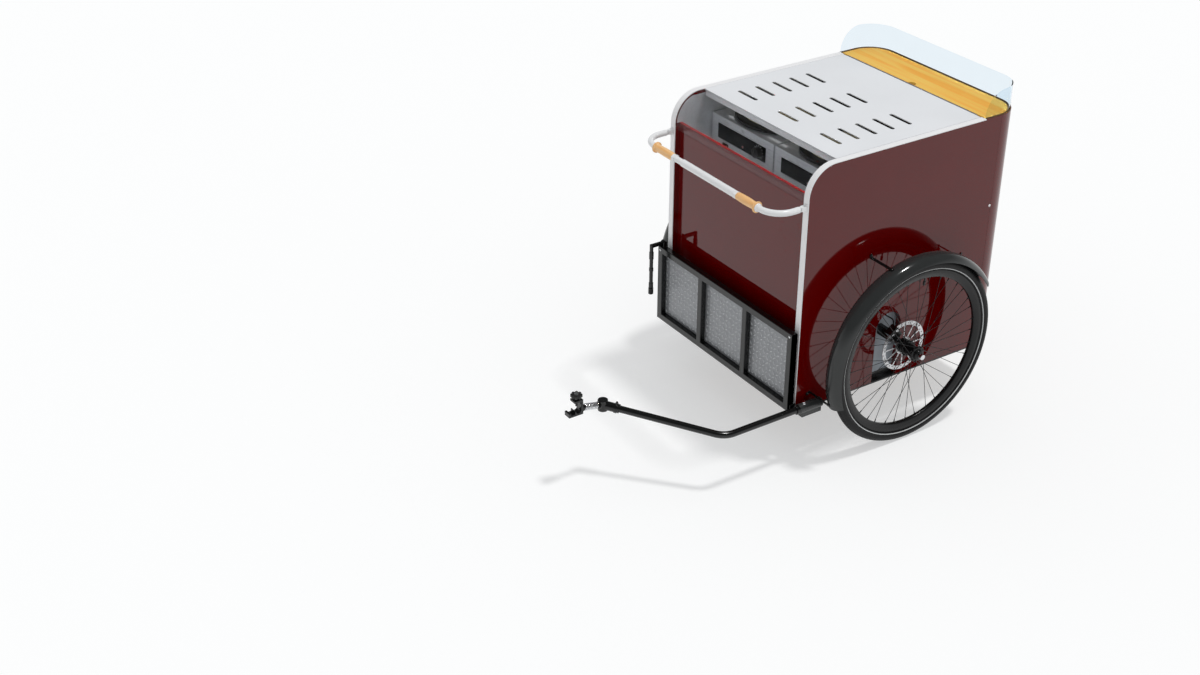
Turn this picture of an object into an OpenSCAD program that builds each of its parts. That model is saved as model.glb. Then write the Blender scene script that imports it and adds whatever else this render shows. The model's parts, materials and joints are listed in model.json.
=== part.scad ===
// Two-wheeled food cart that is towed behind a bicycle.
// Millimetres. +X is the direction of travel, +Y the cart's left, +Z up.
// The origin is on the floor, midway between the wheels, under the axle.

/* [Body] */
// Width across the outside of the side panels
body_w = 780; // [740:5:820]
// Front edge of the body, ahead of the axle
body_front = 426; // [416:1:440]
// Rear face of the body, behind the axle
body_rear = 522; // [505:1:560]
// Underside of the body, above the floor
body_bottom = 183; // [175:1:192]
// Top of the body, above the floor
body_top = 1108; // [1090:1:1150]
// Thickness of the side panels
panel_t = 25; // [20:1:28]
// Thickness of the rear panel
rear_t = 12; // [8:1:18]
// Radius of the top front corner, seen from the side
front_r = 110; // [100:1:125]
// Radius of the rear corners, seen from above
rear_r = 105; // [80:1:120]
// Thickness of the edge trim
trim_t = 4; // [2:0.5:6]
// Height of the sill that shows under the panels
sill_h = 7; // [4:1:12]
// Side of the chassis tubes
chassis_tube = 30; // [25:1:35]
// Wall of the chassis tubes
chassis_wall = 2.5; // [2:0.5:4]
// Thickness of the floor panel
floor_t = 9; // [6:1:15]

/* [Front] */
// Depth of the recess in front of the front panel
recess = 22; // [16:1:30]
// Thickness of the front panel
front_t = 12; // [8:1:16]
// Depth of the lip's top edge below the body's top
lip_drop = 108; // [100:1:115]
// Height of the lip
lip_h = 16; // [12:1:22]

/* [Lid and counter] */
// Depth of the counter behind the lid
counter_d = 177; // [165:1:190]
// Thickness of the cutting board and its rim
board_t = 20; // [16:1:26]
// Radius of the finger notch in the board
finger_r = 19; // [15:1:25]
// Thickness of the lid
lid_t = 4; // [3:0.5:6]
// Length of the window, from the body's front to the lid
window_reach = 126; // [120:1:140]
// Thickness of the window
window_t = 4; // [3:0.5:5]
// Lower edge of the window below the body's top
window_drop = 128; // [118:1:138]
// Length of a vent slot
slot_l = 108; // [80:1:120]
// Width of a vent slot
slot_w = 16; // [12:0.5:20]
// Distance between vent slots along the cart
slot_pitch = 77; // [60:1:90]
// Distance between the rows of vent slots
slot_row = 228; // [210:1:240]
// First vent slot behind the lid's front edge
slot_first = 90; // [70:1:100]
// Height of the guard above the counter
guard_h = 92; // [70:1:120]
// Thickness of the guard
guard_t = 4; // [3:0.5:6]
// Radius of the guard's front corners
guard_r = 88; // [60:1:92]
// Radius of the lid hinge's knuckles
knuckle_r = 3.5; // [3:0.25:4]
// Radius of the lid hinge's pin
lid_pin_r = 1.5; // [1:0.25:2]

/* [Cooking deck] */
// Depth of the deck below the body's top
deck_drop = 218; // [200:1:240]
// Thickness of the deck
deck_t = 3; // [2:0.5:4]
// Distance of the griddles behind the body's front
griddle_back = 164; // [150:1:180]
// Depth of a griddle housing
griddle_d = 360; // [350:1:380]
// Gap between the two housings
griddle_gap = 8; // [4:1:14]
// Top of the housings below the body's top
griddle_drop = 96; // [85:1:105]
// Radius of a cooking plate
plate_r = 170; // [150:1:174]
// Thickness of a cooking plate
plate_t = 12; // [8:1:16]
// Width of a control fascia
fascia_w = 276; // [240:1:300]
// Height of a control fascia
fascia_h = 56; // [48:1:62]
// Radius of a control knob
knob_r = 19; // [15:1:22]
// Depth of a control knob
knob_d = 18; // [14:1:24]

/* [Wheels] */
// Radius over the tyre
wheel_r = 353; // [340:1:360]
// Width of the tyre
tyre_w = 42; // [36:1:46]
// Distance from a side panel to its wheel's centre plane
wheel_gap = 110; // [106:1:125]
// Depth of the tyre over the rim
tyre_h = 39; // [37:0.5:41]
// Depth of the rim
rim_d = 29; // [24:1:34]
// Width of the rim
rim_w = 26; // [22:1:30]
// Spokes in a wheel
spoke_count = 36; // [24:12:36]
// Thickness of a spoke
spoke_d = 2; // [1.8:0.1:2.4]
// Thickness of the stub axles
axle_d = 16; // [14:1:20]
// Radius of the hub
hub_r = 22; // [19:1:24]
// Radius of the brake disc
disc_r = 95; // [85:1:98]
// Thickness of the brake disc
disc_t = 2; // [1.8:0.1:2.5]
// Distance of the brake disc inside the wheel's centre plane
disc_in = 47; // [45:1:50]

/* [Fenders] */
// Space between tyre and fender
fender_gap = 23; // [18:1:30]
// Width of the fender
fender_w = 80; // [72:1:86]
// Radius of the fender's section
fender_bow = 44; // [43.5:0.5:50]
// Thickness of the fender
fender_t = 2; // [1.5:0.5:3]
// Front end of the fender, below the axle's height
fender_front_a = 18.5; // [10:0.5:22]
// Rear end of the fender, from the front
fender_rear_a = 148; // [130:1:160]

/* [Platform] */
// Height of the folded platform
platform_h = 305; // [290:1:310]
// Side of the platform's tubes
platform_tube = 25; // [22:1:28]
// Wall of the platform's tubes
platform_wall = 2.5; // [2:0.5:3.5]
// Overhang of the platform past each side of the body
platform_over = 7; // [2:1:9]
// Thickness of the tread plates
tread_t = 3; // [2:0.5:4]
// Distance of the platform's hinges from the middle
hinge_y = 150; // [120:1:200]
// Radius of the platform's hinge knuckles
lug_r = 11; // [9:0.5:11]
// Radius of the platform's hinge pins
lug_pin_r = 4; // [3:0.5:5]
// Thickness of the prop leg
leg_d = 14; // [11:1:16]
// Distance of the folded leg in front of its pivot
leg_arm = 56; // [45:1:65]

/* [Push handle] */
// Thickness of the handle's tube
handle_d = 22; // [18:1:24]
// Reach of the handle in front of its pivots
handle_reach = 116; // [110:1:140]
// Radius of the handle's bends
handle_bend = 75; // [60:1:80]
// Depth of the handle below the body's top
handle_drop = 140; // [135:1:150]
// Length of a grip
grip_l = 105; // [90:1:115]
// Thickness of a grip
grip_d = 30; // [28:1:34]
// Room between a grip's outer end and the handle's bend
grip_gap = 12.5; // [8:0.5:20]

/* [Drawbar and hitch] */
// Thickness of the drawbar
drawbar_d = 25; // [22:1:28]
// Wall of the drawbar
drawbar_wall = 3; // [2:0.5:4]
// Radius of the drawbar's bend
drawbar_bend = 80; // [60:1:85]
// Distance of the drawbar's socket from the side panel
socket_out = 31; // [30:1:36]
// Height of the socket above the body's underside
socket_up = 35; // [32:1:40]
// Length of the socket
socket_l = 98; // [80:1:110]
// Thickness of the socket
socket_d = 36; // [33:1:40]
// Run of the drawbar from its bend to the hitch
hitch_run = 283; // [250:1:330]
// Distance of the hitch from the cart's middle
hitch_side = 100; // [80:1:130]
// Rise of the drawbar from its bend to the hitch
hitch_rise = 53; // [40:1:60]
// Slope of the hitch spring
hitch_slope = 12; // [6:1:16]
// Length of the hitch spring
spring_l = 66; // [60:1:75]
// Thickness of the spring's wire
wire_d = 4; // [3.5:0.1:4.5]
// Radius of the spring at the middle of its wire
coil_r = 11; // [10:0.5:13]
// Curls of the spring
coil_turns = 9; // [7:1:10]
// Radius of the tube that the hitch clamps
jaw_r = 10; // [8:0.5:12]
// Radius of the star knob
star_r = 16; // [14:1:18]

/* [Hidden] */
$fn = 96;

// Finishes
burgundy = [0.29, 0.01, 0.03];
white = [0.93, 0.93, 0.92];
black = [0.06, 0.06, 0.06];
steel = [0.7, 0.71, 0.72];
grey = [0.35, 0.37, 0.37];
wood = [0.93, 0.66, 0.25];
clear = [0.75, 0.88, 0.95, 0.35];
walnut = [0.55, 0.33, 0.12];
lamp_red = [0.8, 0.05, 0.05];
green = [0.05, 0.2, 0.1];

// One overrun for every cut, and the clearances of the fits
over = 1;
slip = 0.15;
play = 0.5;
seat = 0.2;

// Body
half_w = body_w / 2;
inner_y = half_w - panel_t;
panel_bottom = body_bottom + sill_h;
corner_x = rear_r - body_rear;
front_x = body_front - recess;
front_c = [body_front - front_r, body_top - front_r];
lid_rear = counter_d - body_rear;
counter_z = body_top - board_t;
chassis_top = body_bottom + chassis_tube;
chassis_setback = 10;
chassis_front = body_front - chassis_setback;
cross_count = 4;
shelf_t = 3;
shelf_rail_h = 24;
shelf_rail_w = 20;
ledge_w = 12;

// Axle and the cut-outs in the side panels
axle_z = wheel_r;
wheel_y = half_w + wheel_gap;
slot_half = 57;
slot_x = 18;
slot_over = 12;
slot_top = axle_z + disc_r + slot_over;
axle_plate_t = 6;
axle_plate_margin = 15;
axle_r = axle_d / 2;
axle_head_w = 14;
axle_head_r = axle_r + axle_head_w;
axle_head_t = 8;
hub_inner = 64;
hub_outer = 40;
axle_cap_t = 16;
axle_cap_w = 2;
axle_cap_r = axle_r + axle_cap_w;
axle_collar_w = 6;
axle_collar_r = axle_r + axle_collar_w;

// Hub and spokes
flange_w = 8;
flange_r = hub_r + flange_w;
flange_t = 4;
flange_in = 22;
flange_out = 26;
seat_flange_w = 5;
seat_flange_r = hub_r + seat_flange_w;
spoke_r = spoke_d / 2;
spoke_lean = 52;
spoke_head = flange_t / 2 + spoke_r + seat + play;
spoke_rim_y = 2;
spoke_edge = 4;
tyre_wall = 4;
bead_half = 8;
rim_r = wheel_r - tyre_h;
rim_in = rim_r - rim_d;
rim_wall = 4;
rim_nose = 7;
rim_shoulder = 11;
rim_well = 8;

// Brake
disc_band = 15;
disc_ring = 11;
disc_arms = 12;
disc_arm_w = 5;
disc_holes = 36;
disc_hole_r = 2.4;
disc_hole_shares = [0.3, 0.5, 0.7];
caliper_a = 52;
caliper_reach = 33;
caliper_room = 2;
caliper_bridge = 9;
caliper_in = disc_r - caliper_reach;
caliper_out = disc_r + caliper_room + caliper_bridge;
caliper_half = 20;
caliper_half_y = 15;
caliper_slot = 5;
mount_x = [30, 48];
mount_z = [20, 58];
hose_d = 5;
hose_x = 38;
hose_y_in = 13;
hose_lift = 60;
hose_end_x = 24;
hose_end_lift = 34;
hose_rings = 14;
hose_sides = 8;

// Fenders and the straps that hold them to the side panels
fender_r = wheel_r + fender_gap;
strap_t = 3;
strap_a = 1.6;
strap_angles = [-16, 70, 140];
strap_foot = 18;

// Drawbar, socket and hitch
socket_y = half_w + socket_out;
socket_z = body_bottom + socket_up;
socket_r = socket_d / 2;
socket_ahead = 9;
socket_front = body_front + socket_ahead;
socket_back = socket_front - socket_l;
socket_foot_w = 8;
drawbar_r = drawbar_d / 2;
bolt_r = 4;
bolt_head_r = 7;
bolt_head_h = 6;
bolt_back = 23;
bolt_rise = 6;

// Platform, upright, and where its edge lies once it is folded down
platform_gap = 13;
platform_back = body_front + platform_gap;
platform_up = 22;
platform_low = body_bottom + platform_up;
platform_top = platform_low + platform_h;
platform_half = half_w + platform_over;
platform_front = platform_back + platform_tube;
hinge_in = 2;
hinge_x = platform_back + hinge_in;
hinge_z = platform_low + hinge_in;
lug_w = 14;
lug_bar = 6;
lug_pin_half = 1.5 * lug_w + play;
fold_reach = hinge_x + platform_top - hinge_z;
tread_back = 2;
divider_y = platform_half / 3;

// Prop leg: it ends just clear of the floor when platform and leg are down
leg_y = platform_tube / 2 - platform_half;
leg_forward = 7;
leg_x = hinge_x + leg_forward;
leg_up = 14;
leg_z = platform_top + leg_up;
leg_eye_r = 9;
leg_eye_w = 12;
leg_pin_r = 3;
cheek_t = 4;
leg_clear = 0.5;
leg_l = hinge_z - leg_forward - leg_clear;
foot_h = 12;
foot_lap = 14;
foot_w = 2.5;
foot_r = leg_d / 2 + foot_w;

// Hitch
fold_gap = 4;
bend_x = fold_reach + fold_gap;
hitch_end = [bend_x + hitch_run, hitch_side, socket_z + hitch_rise];
bend_point = [bend_x, socket_y, socket_z];
pull = hitch_end - bend_point;
pull_l = norm(pull);
bend_a = acos(pull[0] / pull_l);
bend_roll = atan2(pull[2], pull[1]);
bend_run = drawbar_bend * tan(bend_a / 2);
sleeve_l = 60;
sleeve_t = 3.5;
sleeve_r = drawbar_r + sleeve_t;
sleeve_stop = 5;
elbow_bulge = 2;
elbow_r = sleeve_r + elbow_bulge;
elbow_half = sleeve_r + 2 * elbow_bulge;
collar_r = coil_r + wire_d;
collar_t = 6;
collar_start = 12;
plug_l = 14;
spring_start = collar_start + collar_t;
spring_dir = [cos(hitch_slope), 0, sin(hitch_slope)];
clamp_at = hitch_end + (spring_start + spring_l + collar_t) * spring_dir;
clamp_arm = 8;
clamp_l = 4 * jaw_r + 2 * clamp_arm;
clamp_half = 15;
clamp_low = jaw_r + clamp_arm;
screw_room = 14;
clamp_high = jaw_r + 2 * clamp_arm + screw_room;
hook_share = 0.8;
hook_h = jaw_r * hook_share;
jaw_wall = 4;
jaw_x = clamp_at[0] + clamp_arm + jaw_r;
screw_r = 4;
screw_clear = 2;
star_t = 12;
star_lobe_share = 0.3;
star_lobe_r = star_r * star_lobe_share;
star_lobes = 8;
lobe_turn_share = 0.25;
star_gap = 8;

// Push handle
handle_z = body_top - handle_drop;
handle_y = half_w - panel_t / 2;
grip_out = handle_y - handle_bend - grip_gap;
handle_r = handle_d / 2;
handle_wall = 2;
ear_reach = 13.5;
handle_x = body_front + ear_reach;
handle_bar_x = handle_x + handle_reach;
ear_base_t = 3;
ear_eye_r = 9;
ear_eye_w = 7;
ear_t = 4;
ear_pin_r = 3;
ear_stem = 15;
ear_base_h = ear_stem - 2 * play;
tang_h = 2 * ear_eye_r;
grip_flange_t = 6;
grip_flange_w = 5;
grip_flange_r = grip_d / 2 + grip_flange_w;
collar_l = 14;
collar_hex_r = grip_d / 2;

// Lid and its hinge
lid_play = 2;
lid_half = inner_y - lid_play;
lid_z = body_top - lid_t;
lid_front = body_front - window_reach;
pin_z = body_top - lid_t / 2;
lid_back = lid_rear + knuckle_r + play;
window_lap = 15;
window_out = front_r - lid_t;
slot_columns = 5;
leaf_t = 1.5;
leaf_in = 2;
shelf_front = lid_rear + leaf_in;
leaf_l = 22;
leaf_h = 38;
knuckle_count = 5;
knuckle_play = 0.4;
hinge_half = lid_half - leaf_l;
knuckle_l = 2 * hinge_half / knuckle_count;
board_front = lid_rear - knuckle_r - 2 * play;
skin_t = 2;
counter_rim_w = 12;
guard_inset = 4.5;
groove_d = 8;

// Cooking deck
deck_z = body_top - deck_drop;
griddle_front = body_front - griddle_back;
griddle_rear = griddle_front - griddle_d;
griddle_top = body_top - griddle_drop;
griddle_half = (inner_y - griddle_gap) / 2;
griddle_y = griddle_half + griddle_gap / 2;
griddle_wall = 2;
plate_x = (griddle_front + griddle_rear) / 2;
collar_w = 8;
plate_seat_h = 4;
plate_lap = 20;
plate_seat_r = plate_r - plate_lap;
ring_share = 0.65;
ring_r = plate_r * ring_share;
ring_w = 10;
ring_h = 8;
fascia_t = 3;
fascia_up = 38;
fascia_low = deck_z + fascia_up;
fascia_mid = fascia_low + fascia_h / 2;
knob_in = 38;
knob_shaft_r = 3;
knob_stem = 8;
pointer_w = 4;
pointer_t = 2;
lamp_r = 3;
lamp_t = 2;
lamp_side = 148;
lamp_up = 14;
rocker_w = 22;
rocker_h = 13;
rocker_r = 13;
rocker_drop = 22;
rocker_side = 44;
rocker_y = rocker_side - griddle_y - fascia_w / 2;
rocker_z = fascia_low - rocker_drop;
rocker_turn = 7;
rocker_spread = 50;
bezel_w = 5;
rocker_in = 5;
rocker_x = griddle_front - rocker_in;

// Side caps
cap_r = 5;
cap_t = 2;
cap_back = 110;
cap_drop = 343;
cap_z = body_top - cap_drop;

// The knobs sit towards the right of each fascia, seen from the front
function knob_y(s) = s * griddle_y + fascia_w / 2 - knob_in;

// Vectors along a swept tube
function unit(v) = v / norm(v);
function heading(path, i) =
    unit(path[min(i + 1, len(path) - 1)] - path[max(i - 1, 0)]);
function ring(p, t, side, r, n) =
    let(a = unit(side - t * (side * t)), b = cross(t, a))
    [for (k = [0 : n - 1]) p + r * (cos(360 * k / n) * a + sin(360 * k / n) * b)];
function bezier(p, t) =
    pow(1 - t, 3) * p[0] + 3 * t * pow(1 - t, 2) * p[1]
    + 3 * t * t * (1 - t) * p[2] + pow(t, 3) * p[3];

// The spring's wire: straight ends along the axis, and a helix between them
coil_steps = 8;
coil_sides = 6;
coil_ease = 2;
coil_lead = wire_d + coil_ease;
coil_pitch = (spring_l - 2 * coil_lead) / coil_turns;
coil_mid = [
    for (i = [0 : coil_steps * coil_turns])
    let(a = 360 * i / coil_steps)
    [coil_r * cos(a), coil_r * sin(a), coil_lead + coil_pitch * i / coil_steps]
];
coil_path = concat(
    [[coil_r, 0, 0], [coil_r, 0, wire_d]],
    coil_mid,
    [[coil_r, 0, spring_l - wire_d], [coil_r, 0, spring_l - seat]]
);
plug_r = coil_r * cos(180 / coil_steps) - wire_d / 2 - play;
coil_gap = min([
    for (i = [0 : len(coil_mid) - 1])
    for (j = [i + coil_steps / 2 : 1 : len(coil_mid) - 1])
    norm(coil_mid[i] - coil_mid[j])
]) - wire_d;
echo(coil_gap = coil_gap);

// Shared shapes
module block(low, high) {
    translate(low) cube(high - low);
}

module both_sides() {
    children();
    mirror([0, 1, 0]) children();
}

module on_side(side) {
    mirror([0, side > 0 ? 0 : 1, 0]) children();
}

module along_y(y0, y1, r) {
    translate([0, y0, 0]) rotate([-90, 0, 0]) cylinder(h = y1 - y0, r = r);
}

module rod(from, to, r) {
    d = to - from;
    translate(from)
        rotate([0, acos(d[2] / norm(d)), atan2(d[1], d[0])])
            cylinder(h = norm(d), r = r);
}

module side_slice(y0, y1) {
    translate([0, y1, 0]) rotate([90, 0, 0]) linear_extrude(y1 - y0) children();
}

// Turns a profile about the axle: its second coordinate runs inwards from y
module about_axle(y) {
    translate([0, y, axle_z]) rotate([90, 0, 0]) children();
}

module swept_tube(path, sides, r, n) {
    rings = len(path);
    points = [
        for (i = [0 : rings - 1]) each ring(path[i], heading(path, i), sides[i], r, n)
    ];
    walls = [
        for (i = [0 : rings - 2], k = [0 : n - 1])
        let(a = i * n + k, b = i * n + (k + 1) % n)
        each [[a, a + n, b + n], [a, b + n, b]]
    ];
    last = (rings - 1) * n;
    ends = [
        for (k = [1 : n - 2])
        each [[0, k, k + 1], [last, last + k + 1, last + k]]
    ];
    polyhedron(points, concat(walls, ends));
}

// Side view of a side panel, drawn in from the body's outline at front and top
module side_outline(inset) {
    translate([corner_x, panel_bottom])
        square([front_c[0] - corner_x, counter_z - panel_bottom]);
    translate([lid_rear, panel_bottom])
        square([front_c[0] - lid_rear, body_top - inset - panel_bottom]);
    translate([front_c[0], panel_bottom])
        square([front_r - inset, front_c[1] - panel_bottom]);
    translate(front_c) circle(front_r - inset);
}

// Plan of the body's rounded rear end, from x forward limit to the rear face
module rear_outline(x, inset) {
    translate([corner_x, inset - half_w]) square([x - corner_x, body_w - 2 * inset]);
    intersection() {
        translate([-body_rear, -half_w]) square([rear_r, body_w]);
        union() {
            translate([inset - body_rear, rear_r - half_w])
                square([rear_r - inset, body_w - 2 * rear_r]);
            for (s = [-1, 1])
                translate([corner_x, s * (half_w - rear_r)]) circle(rear_r - inset);
        }
    }
}

// Plan of the rear panel
module rear_wall(thick) {
    intersection() {
        difference() {
            rear_outline(corner_x + over, 0);
            rear_outline(corner_x + 2 * over, thick);
        }
        translate([-body_rear, -half_w]) square([body_rear + corner_x, body_w]);
    }
}

// Plan of what lies between the panels, up to x in front
module inner_plan(x, side) {
    translate([corner_x, side - half_w]) square([x - corner_x, body_w - 2 * side]);
    intersection() {
        rear_outline(corner_x + over, rear_t);
        translate([-body_rear, -half_w]) square([body_rear + corner_x, body_w]);
    }
}

// Chassis and axle
module chassis_frame() {
    low = body_bottom;
    wall = chassis_wall;
    rail_in = inner_y - chassis_tube;
    step = (chassis_front - chassis_tube - corner_x) / (cross_count - 1);
    color(black) {
        difference() {
            union() {
                both_sides()
                    block([corner_x, rail_in, low], [chassis_front, inner_y, chassis_top]);
                for (i = [0 : cross_count - 1])
                    translate([corner_x + step * i, 0, 0])
                        block([0, -rail_in, low], [chassis_tube, rail_in, chassis_top]);
            }
            both_sides()
                block([corner_x - over, rail_in + wall, low + wall],
                      [chassis_front + over, inner_y - wall, chassis_top - wall]);
            for (i = [0 : cross_count - 1])
                translate([corner_x + step * i, 0, 0])
                    block([wall, -inner_y + 2 * wall, low + wall],
                          [chassis_tube - wall, inner_y - 2 * wall, chassis_top - wall]);
        }
        both_sides()
            block([corner_x, inner_y, low], [body_front - trim_t, half_w - over, panel_bottom]);
        translate([0, 0, low]) linear_extrude(sill_h) rear_wall(rear_t);
    }
}

module floor_panel() {
    color(wood) translate([0, 0, chassis_top])
        linear_extrude(floor_t) inner_plan(front_x - front_t, panel_t + axle_plate_t);
}

module axle_plates() {
    half = slot_half + axle_plate_margin;
    color(grey) both_sides() difference() {
        block([slot_x - half, inner_y - axle_plate_t, chassis_top],
              [slot_x + half, inner_y, slot_top + axle_plate_margin]);
        translate([0, 0, axle_z])
            along_y(inner_y - axle_plate_t - over, inner_y + over, axle_r + slip);
    }
}

module stub_axles() {
    head = inner_y - axle_plate_t;
    color(steel) both_sides() translate([0, 0, axle_z]) {
        along_y(head - axle_head_t, wheel_y + hub_outer + axle_cap_t, axle_r);
        along_y(head - axle_head_t, head, axle_head_r);
        along_y(inner_y, wheel_y - hub_inner - play, axle_collar_r);
        along_y(wheel_y + hub_outer + play, wheel_y + hub_outer + axle_cap_t, axle_cap_r);
    }
}

// Body panels
module side_panel(side) {
    color(burgundy) on_side(side) {
        difference() {
            side_slice(inner_y, half_w) side_outline(trim_t);
            side_slice(inner_y - over, half_w + over) {
                translate([slot_x - slot_half, panel_bottom - over])
                    square([2 * slot_half, slot_top - slot_half - panel_bottom + over]);
                translate([slot_x, slot_top - slot_half]) circle(slot_half);
            }
        }
        block([corner_x, half_w - skin_t, counter_z - over], [lid_rear, half_w, body_top]);
    }
}

module edge_trims() {
    color(white) both_sides() side_slice(inner_y, half_w) difference() {
        side_outline(0);
        side_outline(trim_t);
    }
}

module rear_panel() {
    color(burgundy) {
        translate([0, 0, panel_bottom])
            linear_extrude(counter_z - panel_bottom) rear_wall(rear_t);
        translate([0, 0, counter_z - over]) linear_extrude(board_t + over) rear_wall(skin_t);
    }
}

module front_panel() {
    color(burgundy)
        block([front_x - front_t, -inner_y, chassis_top],
              [front_x, inner_y, body_top - lip_drop - lip_h]);
}

module lip_rail() {
    top = body_top - lip_drop;
    color(burgundy) block([front_x - front_t, -inner_y, top - lip_h], [front_x, inner_y, top]);
}

// Fenders and brakes
module fenders() {
    sag = fender_bow - sqrt(pow(fender_bow, 2) - pow(fender_w / 2, 2));
    color(grey) both_sides() about_axle(wheel_y) rotate([0, 0, -fender_front_a])
        rotate_extrude(angle = fender_front_a + fender_rear_a)
            intersection() {
                translate([fender_r - fender_bow, 0]) difference() {
                    circle(fender_bow);
                    circle(fender_bow - fender_t);
                }
                translate([fender_r - sag, -fender_w / 2]) square([sag + over, fender_w]);
            }
}

module fender_straps() {
    color(black) both_sides() about_axle(half_w) for (a = strap_angles)
        rotate([0, 0, a - strap_a / 2]) rotate_extrude(angle = strap_a) {
            translate([fender_r, -wheel_gap]) square([strap_t, wheel_gap]);
            translate([fender_r, -strap_t]) square([strap_foot, strap_t]);
        }
}

module brake_calipers() {
    y = wheel_y - disc_in;
    color(black) both_sides() {
        translate([0, y, axle_z]) rotate([0, -caliper_a, 0]) difference() {
            block([caliper_in, -caliper_half_y, -caliper_half],
                  [caliper_out, caliper_half_y, caliper_half]);
            block([caliper_in - over, -caliper_slot / 2, -caliper_half - over],
                  [caliper_out - caliper_bridge, caliper_slot / 2, caliper_half + over]);
        }
        block([mount_x[0], inner_y, axle_z + mount_z[0]],
              [mount_x[1], y - caliper_slot, axle_z + mount_z[1]]);
    }
}

module brake_hoses() {
    low = axle_z + mount_z[1] + play;
    y = wheel_y - disc_in - caliper_slot - hose_y_in;
    bend = [
        [hose_x, y, low],
        [hose_x, y, low + hose_lift],
        [hose_end_x, inner_y + hose_lift, low + hose_end_lift],
        [hose_end_x, inner_y, low + hose_end_lift]
    ];
    path = [for (i = [0 : hose_rings]) bezier(bend, i / hose_rings)];
    color(steel) both_sides()
        swept_tube(path, [for (p = path) [1, 0, 0]], hose_d / 2, hose_sides);
}

// Cooking deck
module deck() {
    color(steel)
        block([lid_rear, -inner_y, deck_z - deck_t],
              [front_x - front_t, inner_y, deck_z]);
}

module fascia_stem_hole(y) {
    translate([griddle_front - griddle_wall - over, y, fascia_mid]) rotate([0, 90, 0])
        cylinder(h = griddle_wall + fascia_t + 2 * over, r = knob_shaft_r + slip);
}

module rocker_opening() {
    translate([griddle_front - griddle_wall - over, rocker_y - rocker_w / 2, rocker_z - rocker_h / 2])
        cube([griddle_wall + fascia_t + 2 * over, rocker_w, rocker_h]);
}

module griddle_housings() {
    w = griddle_wall;
    color(steel) difference() {
        both_sides() difference() {
            union() {
                block([griddle_rear, griddle_y - griddle_half, deck_z],
                      [griddle_front, griddle_y + griddle_half, griddle_top]);
                translate([plate_x, griddle_y, griddle_top])
                    cylinder(h = plate_seat_h, r = plate_seat_r + collar_w);
            }
            block([griddle_rear + w, griddle_y - griddle_half + w, deck_z - over],
                  [griddle_front - w, griddle_y + griddle_half - w, griddle_top - w]);
            translate([plate_x, griddle_y, griddle_top - w - over])
                cylinder(h = plate_seat_h + w + 2 * over, r = plate_seat_r);
        }
        for (s = [-1, 1]) fascia_stem_hole(knob_y(s));
        rocker_opening();
    }
}

module griddle_plates() {
    color(black) both_sides() translate([plate_x, griddle_y, griddle_top + plate_seat_h])
        cylinder(h = plate_t, r = plate_r);
}

module heating_rings() {
    color(steel) both_sides()
        translate([plate_x, griddle_y, griddle_top + plate_seat_h - ring_h])
            rotate_extrude() translate([ring_r, 0]) square([ring_w, ring_h]);
}

module control_fascias() {
    color(black) difference() {
        union() {
            for (s = [-1, 1])
                translate([griddle_front, s * griddle_y - fascia_w / 2, fascia_low])
                    cube([fascia_t, fascia_w, fascia_h]);
            translate([griddle_front, rocker_y - rocker_w / 2 - bezel_w,
                       rocker_z - rocker_h / 2 - bezel_w])
                cube([fascia_t, rocker_w + 2 * bezel_w, rocker_h + 2 * bezel_w]);
        }
        for (s = [-1, 1]) fascia_stem_hole(knob_y(s));
        rocker_opening();
    }
}

module indicator_lamps() {
    color(lamp_red) for (s = [-1, 1])
        translate([griddle_front + fascia_t, s * griddle_y - fascia_w / 2 + lamp_side,
                   fascia_low + lamp_up])
            rotate([0, 90, 0]) cylinder(h = lamp_t, r = lamp_r);
}

module knob(side) {
    back = griddle_front + fascia_t + play;
    stem = griddle_front - griddle_wall - knob_stem;
    color(black) translate([0, knob_y(side), fascia_mid]) {
        rod([back, 0, 0], [back + knob_d, 0, 0], knob_r);
        rod([stem, 0, 0], [back + knob_d, 0, 0], knob_shaft_r);
        block([back, -pointer_w / 2, 0],
              [back + knob_d + pointer_t, pointer_w / 2, knob_r - pointer_t]);
    }
}

module rocker_switch() {
    color(green) translate([rocker_x, rocker_y, rocker_z - rocker_h / 2 + 2 * slip])
        rotate([0, 0, -rocker_turn - rocker_spread])
            rotate_extrude(angle = 2 * rocker_spread)
                square([rocker_r, rocker_h - 4 * slip]);
}

// Lid, counter and guard
module top_rails() {
    low = counter_z - shelf_t;
    color(steel) {
        both_sides()
            block([lid_back, inner_y - ledge_w, lid_z - ledge_w],
                  [lid_front - window_lap - window_t, inner_y, lid_z]);
        translate([0, 0, low]) linear_extrude(shelf_t) inner_plan(shelf_front, panel_t);
        block([shelf_front - shelf_rail_w, -inner_y, low - shelf_rail_h],
              [shelf_front, inner_y, low]);
    }
}

function knuckle_y(k) = knuckle_l * k - hinge_half;

module lid_hinge_fixed() {
    color(steel) {
        difference() {
            union() {
                block([shelf_front, -hinge_half, pin_z - leaf_h],
                      [shelf_front + leaf_t, hinge_half, pin_z]);
                for (k = [0 : 2 : knuckle_count - 1])
                    translate([lid_rear, 0, pin_z])
                        along_y(knuckle_y(k), knuckle_y(k + 1), knuckle_r);
            }
            for (k = [1 : 2 : knuckle_count - 1])
                block([lid_rear - 2 * knuckle_r, knuckle_y(k), lid_z - leaf_t - over],
                      [lid_rear + 2 * knuckle_r, knuckle_y(k + 1), body_top + knuckle_r]);
        }
        translate([lid_rear, 0, pin_z]) along_y(-hinge_half, hinge_half, lid_pin_r);
    }
}

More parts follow.
